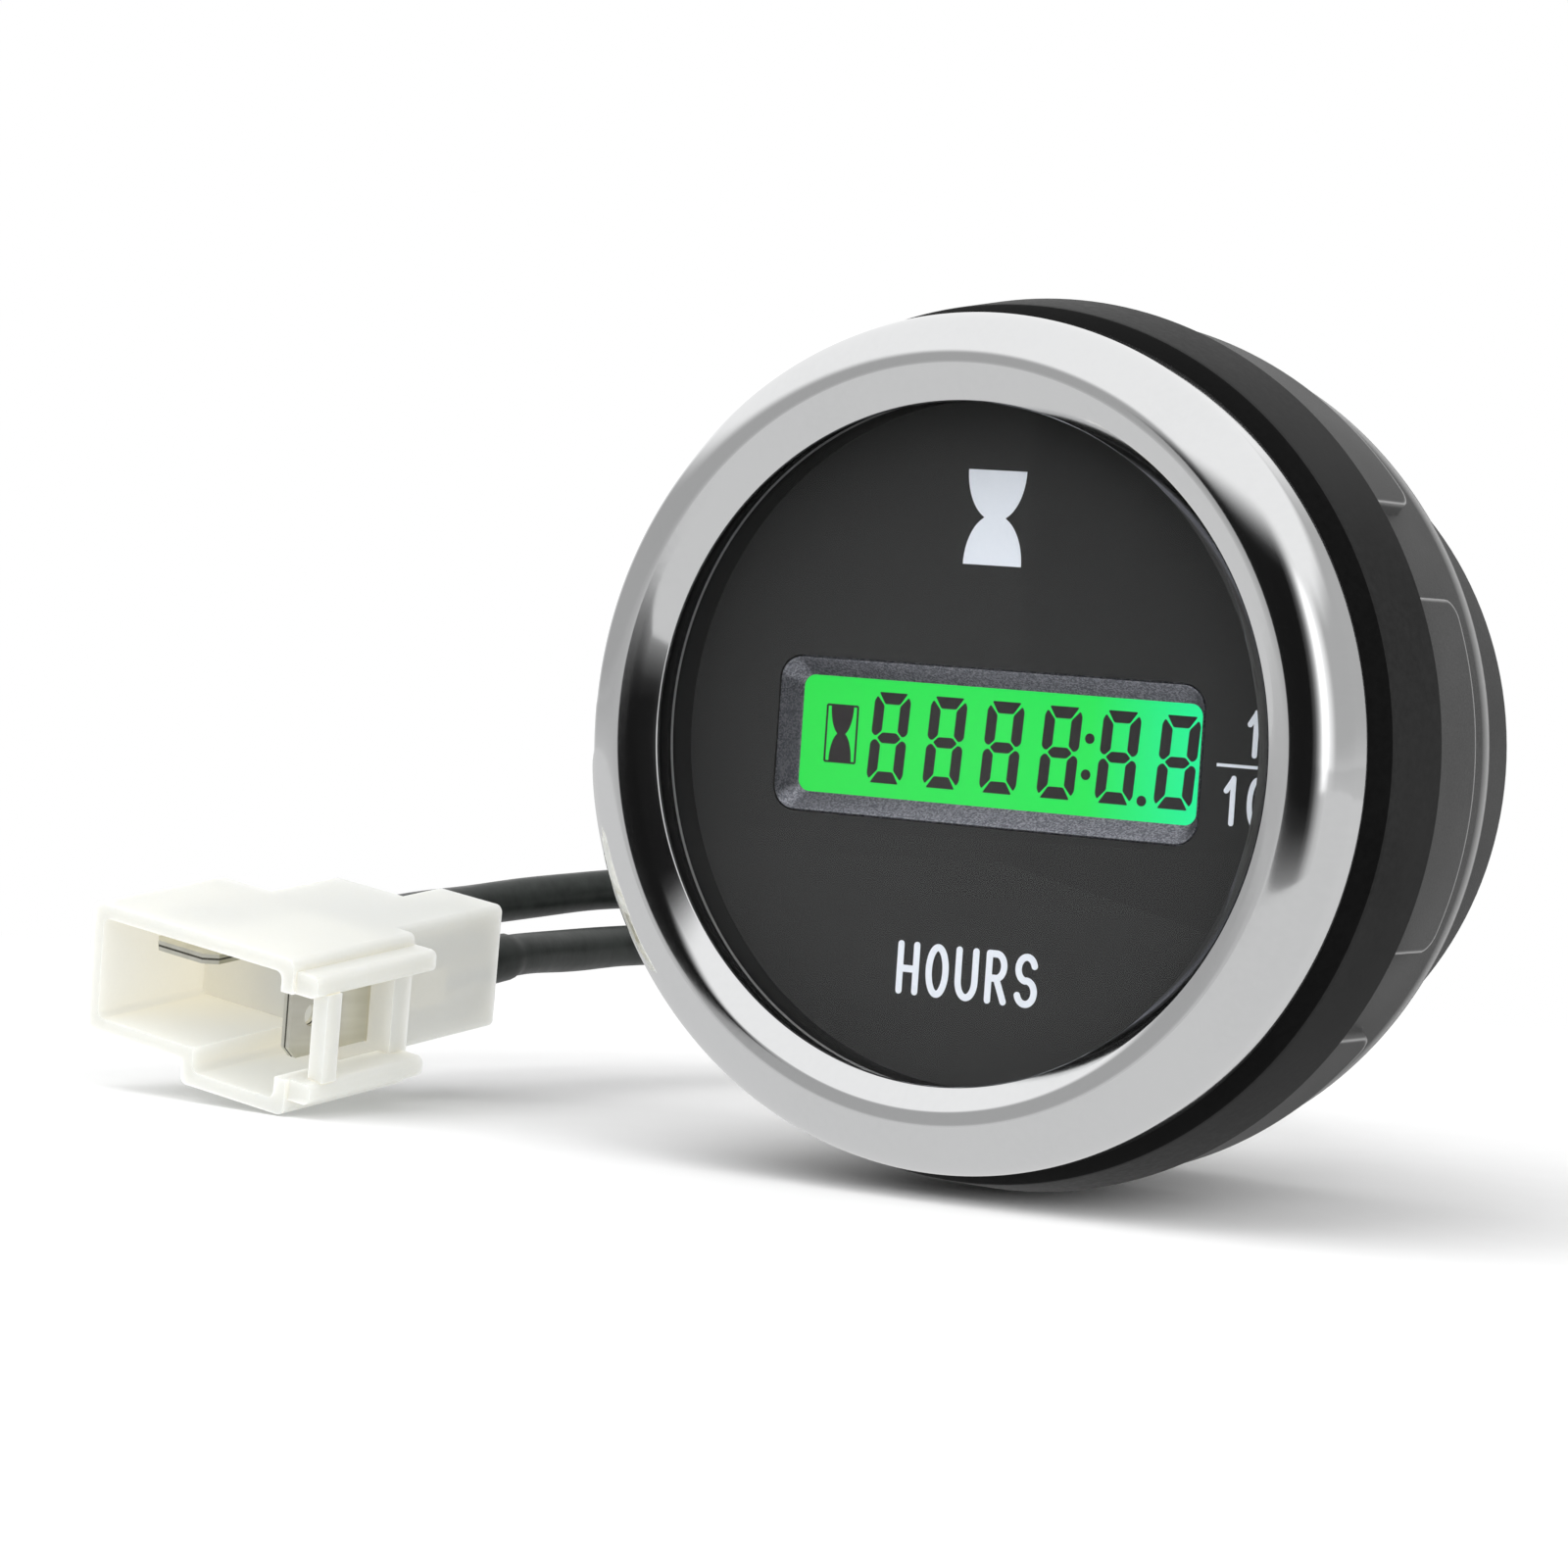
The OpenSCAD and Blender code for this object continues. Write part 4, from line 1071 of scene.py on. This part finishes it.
# %% Grip pads
PAD_R = 31.15 * MM
PAD_COUNT = 6
PAD_SECTOR = ONE_TURN / PAD_COUNT
PAD_REAR = 7.1 * MM
PAD_HALF_ANGLE = math.radians(23.5)
PAD_CORNER = 1.6 * MM
PAD_EDGE = 0.16 * MM


def dense_steps(low, high, marks, coarse, fine, reach):
    """Steps from low to high that are fine near the marks and coarse elsewhere."""
    steps = [low]
    while steps[-1] < high - 1e-9:
        near = any(mark - reach < steps[-1] + fine / 2 < mark + reach for mark in marks)
        ahead = [mark - reach for mark in marks if mark - reach > steps[-1] + 1e-9]
        step = fine if near else coarse
        if not near and ahead:
            step = min(step, max(fine, min(ahead) - steps[-1]))
        steps.append(min(high, steps[-1] + step))
    return steps


def pad_distance(angle, y):
    """How far a point of the ring lies outside the nearest pad's outline, or inside it below zero."""
    off = (angle + PAD_SECTOR / 2) % PAD_SECTOR - PAD_SECTOR / 2
    across = abs(off) * PAD_R - (PAD_HALF_ANGLE * PAD_R - PAD_CORNER)
    along = y - (PAD_REAR - PAD_CORNER)
    return math.hypot(max(across, 0), max(along, 0)) + min(max(across, along), 0) - PAD_CORNER


# %% Lock ring
RING_LOW, RING_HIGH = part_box("lock_ring")
RING_FRONT = RING_LOW[1]
RING_REAR = RING_HIGH[1]
RING_R = 30.25 * MM
RING_IN_R = 26.4 * MM
RING_CHAMFER = 0.5 * MM
CHAMFER_FRONT = RING_REAR - RING_CHAMFER
HIGHLIGHT_INSET = 0.22 * MM
HIGHLIGHT_WIDTH = 0.1 * MM
PAD_SIDES = (-PAD_HALF_ANGLE, PAD_HALF_ANGLE)
SECTOR_STEPS = dense_steps(-PAD_SECTOR / 2, PAD_SECTOR / 2, PAD_SIDES, 0.03, 0.0035, 0.065)[:-1]
RING_ANGLES = [k * PAD_SECTOR + a for k in range(PAD_COUNT) for a in SECTOR_STEPS]
RING_YS = dense_steps(RING_FRONT, CHAMFER_FRONT, (PAD_REAR - 0.6 * MM,), 1.2 * MM, 0.1 * MM, 1.2 * MM)
RING_INSIDE = soften([
    (RING_R, CHAMFER_FRONT), (RING_R - RING_CHAMFER, RING_REAR), (RING_IN_R + RING_CHAMFER, RING_REAR),
    (RING_IN_R, CHAMFER_FRONT), (RING_IN_R, RING_FRONT),
], [0, 0.15 * MM, 0.15 * MM, 0.1 * MM, 0])[1:]


def ring_section(angle):
    """Outside with its pads, raised by their soft edge, then rear chamfers and bore."""
    rises = [soft_ramp(PAD_EDGE - pad_distance(angle, y), 2 * PAD_EDGE) for y in RING_YS]
    return [(RING_R + (PAD_R - RING_R) * rise, y) for rise, y in zip(rises, RING_YS)] + RING_INSIDE


def mark_edge_highlight(bm):
    """Write how near each point lies to the painted edge highlight, just inside the pads and the rear
    chamfer.
    """
    edge = bm.verts.layers.float.new("edge")
    for vert in bm.verts:
        from_pad = pad_distance(math.atan2(vert.co.z, vert.co.x), vert.co.y) + HIGHLIGHT_INSET
        from_rear = vert.co.y - CHAMFER_FRONT + HIGHLIGHT_INSET
        vert[edge] = max(math.exp(-(d / HIGHLIGHT_WIDTH) ** 2) for d in (from_pad, from_rear))


grip = revolve(ring_section, RING_ANGLES)
mark_edge_highlight(grip)
piece("ring_grip", grip, FINISH["ring"], body="lock_ring", stands_for=("lock_ring",))

# %% [markdown]
# ## Case
# The case is a moulded cup with a coarse thread for the lock ring. The thread shows behind the ring,
# and all of it shows when the ring is backed off. It is a wave that climbs one pitch for each turn, so
# the same kind of grid as the ring's can carry it.

# %% Case
CASE_LOW, CASE_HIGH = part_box("case")
CASE_REAR = CASE_HIGH[1]
CASE_FRONT = CASE_LOW[1]
CASE_R = 26 * MM
CASE_IN_R = 24.4 * MM
CASE_MOUTH_R = 25.05 * MM
CASE_FLOOR = CASE_REAR - 2 * MM
CASE_CHAMFER = 0.6 * MM
CASE_STEPS = 160
THREAD_R = 26.15 * MM
THREAD_END = 16 * MM
THREAD_PITCH = 1.6 * MM
THREAD_DEPTH = 0.55 * MM
THREAD_STEPS = 130
RELIEF_R = CASE_R - 0.5 * MM
RELIEF_END = 17 * MM
FLANGE_R = CASE_HIGH[0]
FLANGE_REAR = GASKET_FRONT - SHEET
DIAL_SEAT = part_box("dial_plate")[1][1]
THREAD_YS = [THREAD_END * k / THREAD_STEPS for k in range(THREAD_STEPS + 1)]
CASE_FLANGE = [
    (CASE_MOUTH_R, CASE_FRONT), (FLANGE_R, CASE_FRONT), (FLANGE_R, FLANGE_REAR), (THREAD_R, FLANGE_REAR),
]
CASE_END = soften([
    (RELIEF_R, THREAD_END + 0.05 * MM), (RELIEF_R, RELIEF_END), (CASE_R, RELIEF_END),
    (CASE_R, CASE_REAR - CASE_CHAMFER), (CASE_R - CASE_CHAMFER, CASE_REAR), (0, CASE_REAR), (0, CASE_FLOOR),
    (CASE_IN_R, CASE_FLOOR), (CASE_IN_R, DIAL_SEAT), (CASE_MOUTH_R, DIAL_SEAT),
], [0, 0.1 * MM, 0.15 * MM, 0.3 * MM, 0.3 * MM, 0, 0, 0.3 * MM, 0, 0])


def thread_radius(angle, y):
    """Radius of the thread's flanks, fading out at its two ends."""
    phase = (y / THREAD_PITCH - angle / ONE_TURN) % 1
    groove = ramp(1 - abs(2 * phase - 1) - 0.15, 0.7)
    fade = ramp(y, 0.8 * MM) * ramp(THREAD_END - y, 0.5 * MM)
    return THREAD_R - THREAD_DEPTH * groove * fade


def case_section(angle):
    """Flange, thread, relief groove, plain end, rear wall and the hollow inside."""
    return CASE_FLANGE + [(thread_radius(angle, y), y) for y in THREAD_YS] + CASE_END


cup = revolve(case_section, even_turn(CASE_STEPS))
piece("case_cup", cup, FINISH["case"], stands_for=("case",))
broken_edges("grommet_rubber", "cable_grommet", FINISH["rubber"], 0.35 * MM)

# %% [markdown]
# ## Studio
# The photo was taken in a white studio. The floor is pale and keeps a soft shadow, and farther out it
# runs into the white of the background. Four soft lamps light the object at a plain level.

# %% Floor and world
FLOOR_Z = cad_box[0][2]
FLOOR_SIZE = 6
FLOOR_NEAR = 0.07
FLOOR_FAR = 0.19
FLOOR_IN_CHROME = 0.68
AMBIENT = 0.5


def background_strength(tree):
    """White for rays that see the background, and a softer ambient light for what falls on things."""
    ray = add_node(tree, "LightPath").outputs
    sees = math_node(tree, "MAXIMUM", ray["Is Camera Ray"], ray["Is Glossy Ray"])
    sees = math_node(tree, "MAXIMUM", sees, ray["Is Transmission Ray"])
    lit = math_node(tree, "MINIMUM", ray["Diffuse Depth"], 1)
    return spread(tree, math_node(tree, "SUBTRACT", sees, lit), 0, 1, AMBIENT, 1)


def add_world():
    """A white surrounding with a plain ambient light."""
    scene.world = bpy.data.worlds.new("white_studio")
    scene.world.use_nodes = True
    tree = scene.world.node_tree
    background = tree.nodes["Background"]
    background.inputs["Color"].default_value = rgba(1)
    feed(tree, background.inputs["Strength"], background_strength(tree))


def floor_finish():
    """Pale ground that keeps shadows near the object and turns into the white background farther out."""
    material, tree, shader = new_finish("floor_pale", {"Specular IOR Level": 0})
    coat(tree, shader, MOULDED_GRAIN, 0.95, 0.97, 4, (0.9, 0.9))
    span = add_node(tree, "VectorMath", {0: own_place(tree)}, operation="LENGTH").outputs["Value"]
    mirrored_ray = add_node(tree, "LightPath").outputs["Is Glossy Ray"]
    away = math_node(tree, "MAXIMUM", spread(tree, span, FLOOR_NEAR, FLOOR_FAR, 0, 1), mirrored_ray)
    dimmed = spread(tree, mirrored_ray, 0, 1, 1, FLOOR_IN_CHROME)
    strength = math_node(tree, "MULTIPLY", background_strength(tree), dimmed)
    backdrop = add_node(tree, "Emission", {"Strength": strength}).outputs["Emission"]
    mix_shaders(tree, away, shader.outputs["BSDF"], backdrop)
    return material


def add_floor():
    """A plane under the object's lowest point."""
    bm = bmesh.new()
    bmesh.ops.create_grid(bm, x_segments=2, y_segments=2, size=FLOOR_SIZE / 2)
    floor = add_mesh("floor", bm, floor_finish())
    floor.location.z = FLOOR_Z


add_world()
add_floor()
print("floor at", round(FLOOR_Z, 5))

# %% Lamps
LAMP_DISTANCE = 1.2

# Name, azimuth and elevation in degrees, size in metres, watts
LAMPS = [
    ("key_lamp", -35, 50, 1.4, 9),
    ("side_lamp", 75, 30, 1.2, 8),
    ("top_lamp", 0, 85, 1.4, 3),
    ("fill_lamp", 22, 8, 1.0, 5),
]


def add_lamp(name, azimuth, elevation, size, watts):
    """A square soft lamp that looks at the dial."""
    lamp = bpy.data.lights.new(name, "AREA")
    lamp.size = size
    lamp.energy = watts
    made = bpy.data.objects.new(name, lamp)
    away = direction(azimuth, elevation)
    made.location = away * LAMP_DISTANCE
    made.rotation_euler = away.to_track_quat("Z", "Y").to_euler()
    made.visible_glossy = False
    scene.collection.objects.link(made)


for row in LAMPS:
    add_lamp(*row)
print("lamps:", [row[0] for row in LAMPS])

# %% [markdown]
# ## Cards for the chrome
# Chrome shows its surroundings and little else. A dark flag in front, and grey and bright cards at the
# sides, give the bezel the bands that the photo shows. The cards fade out towards their edges, so the
# bands end softly. Reflections alone see them, and they light nothing.

# %% Cards
CARD_COLUMNS, CARD_LEVELS = 48, 24

# Name, plan of (x, y) points, lower and upper edge and width of the fade in mm, brightness
CARDS = [
    ("dark_flag", [(-221, -527), (91, -42)], -56, 102, 44, 0.01),
    ("right_bright", [(285, -318), (408, -134)], -90, 330, 130, 2.2),
    ("right_grey", [(410, -160), (430, 60), (330, 260), (150, 380), (-20, 430)], -90, 330, 130, 0.48),
    ("left_grey", [(-120, -590), (-290, -430), (-400, -200), (-430, 0), (-425, 90)], -70, 230, 90, 0.43),
    ("left_bright", [(-420, 60), (-350, 230), (-230, 345)], -70, 200, 80, 1.8),
]


def card_finish(name, brightness):
    """A plain light that is clear where the card's cover fades out."""
    material = bpy.data.materials.new(name)
    material.use_nodes = True
    tree = material.node_tree
    tree.nodes.remove(tree.nodes["Principled BSDF"])
    light = add_node(tree, "Emission", {"Color": rgba(1), "Strength": brightness}).outputs["Emission"]
    clear = add_node(tree, "BsdfTransparent").outputs["BSDF"]
    cover = add_node(tree, "Attribute", attribute_name="cover").outputs["Fac"]
    mix_shaders(tree, cover, clear, light)
    return material


def point_along(corners, run):
    """The point of a line of corners after a run from its start."""
    for here, there in zip(corners, corners[1:]):
        span = (there - here).length
        if run <= span + 1e-9:
            return here.lerp(there, run / span)
        run -= span
    return corners[-1]


def card_mesh(plan, low, high, fade):
    """An upright grid over a plan, with a cover that fades in from its edges."""
    corners = [Vector(p) * MM for p in plan]
    whole = route_length(corners)
    bm = bmesh.new()
    cover = bm.verts.layers.float.new("cover")
    grid = []
    for i in range(CARD_COLUMNS + 1):
        run = whole * i / CARD_COLUMNS
        spot = point_along(corners, run)
        inside = soft_ramp(min(run, whole - run), fade * MM)
        grid.append([])
        for j in range(CARD_LEVELS + 1):
            z = (low + (high - low) * j / CARD_LEVELS) * MM
            vert = bm.verts.new((spot.x, spot.y, z))
            vert[cover] = inside * soft_ramp(min(high * MM - z, z - low * MM), fade * MM)
            grid[-1].append(vert)
    for here, there in zip(grid, grid[1:]):
        for j in range(CARD_LEVELS):
            bm.faces.new((here[j], there[j], there[j + 1], here[j + 1]))
    return bm


def add_card(name, plan, low, high, fade, brightness):
    """A card that only reflections see."""
    card = add_mesh(name, card_mesh(plan, low, high, fade), card_finish(name, brightness))
    card.visible_camera = False
    card.visible_diffuse = False
    card.visible_transmission = False
    card.visible_shadow = False


for row in CARDS:
    add_card(*row)
print("cards:", [row[0] for row in CARDS])
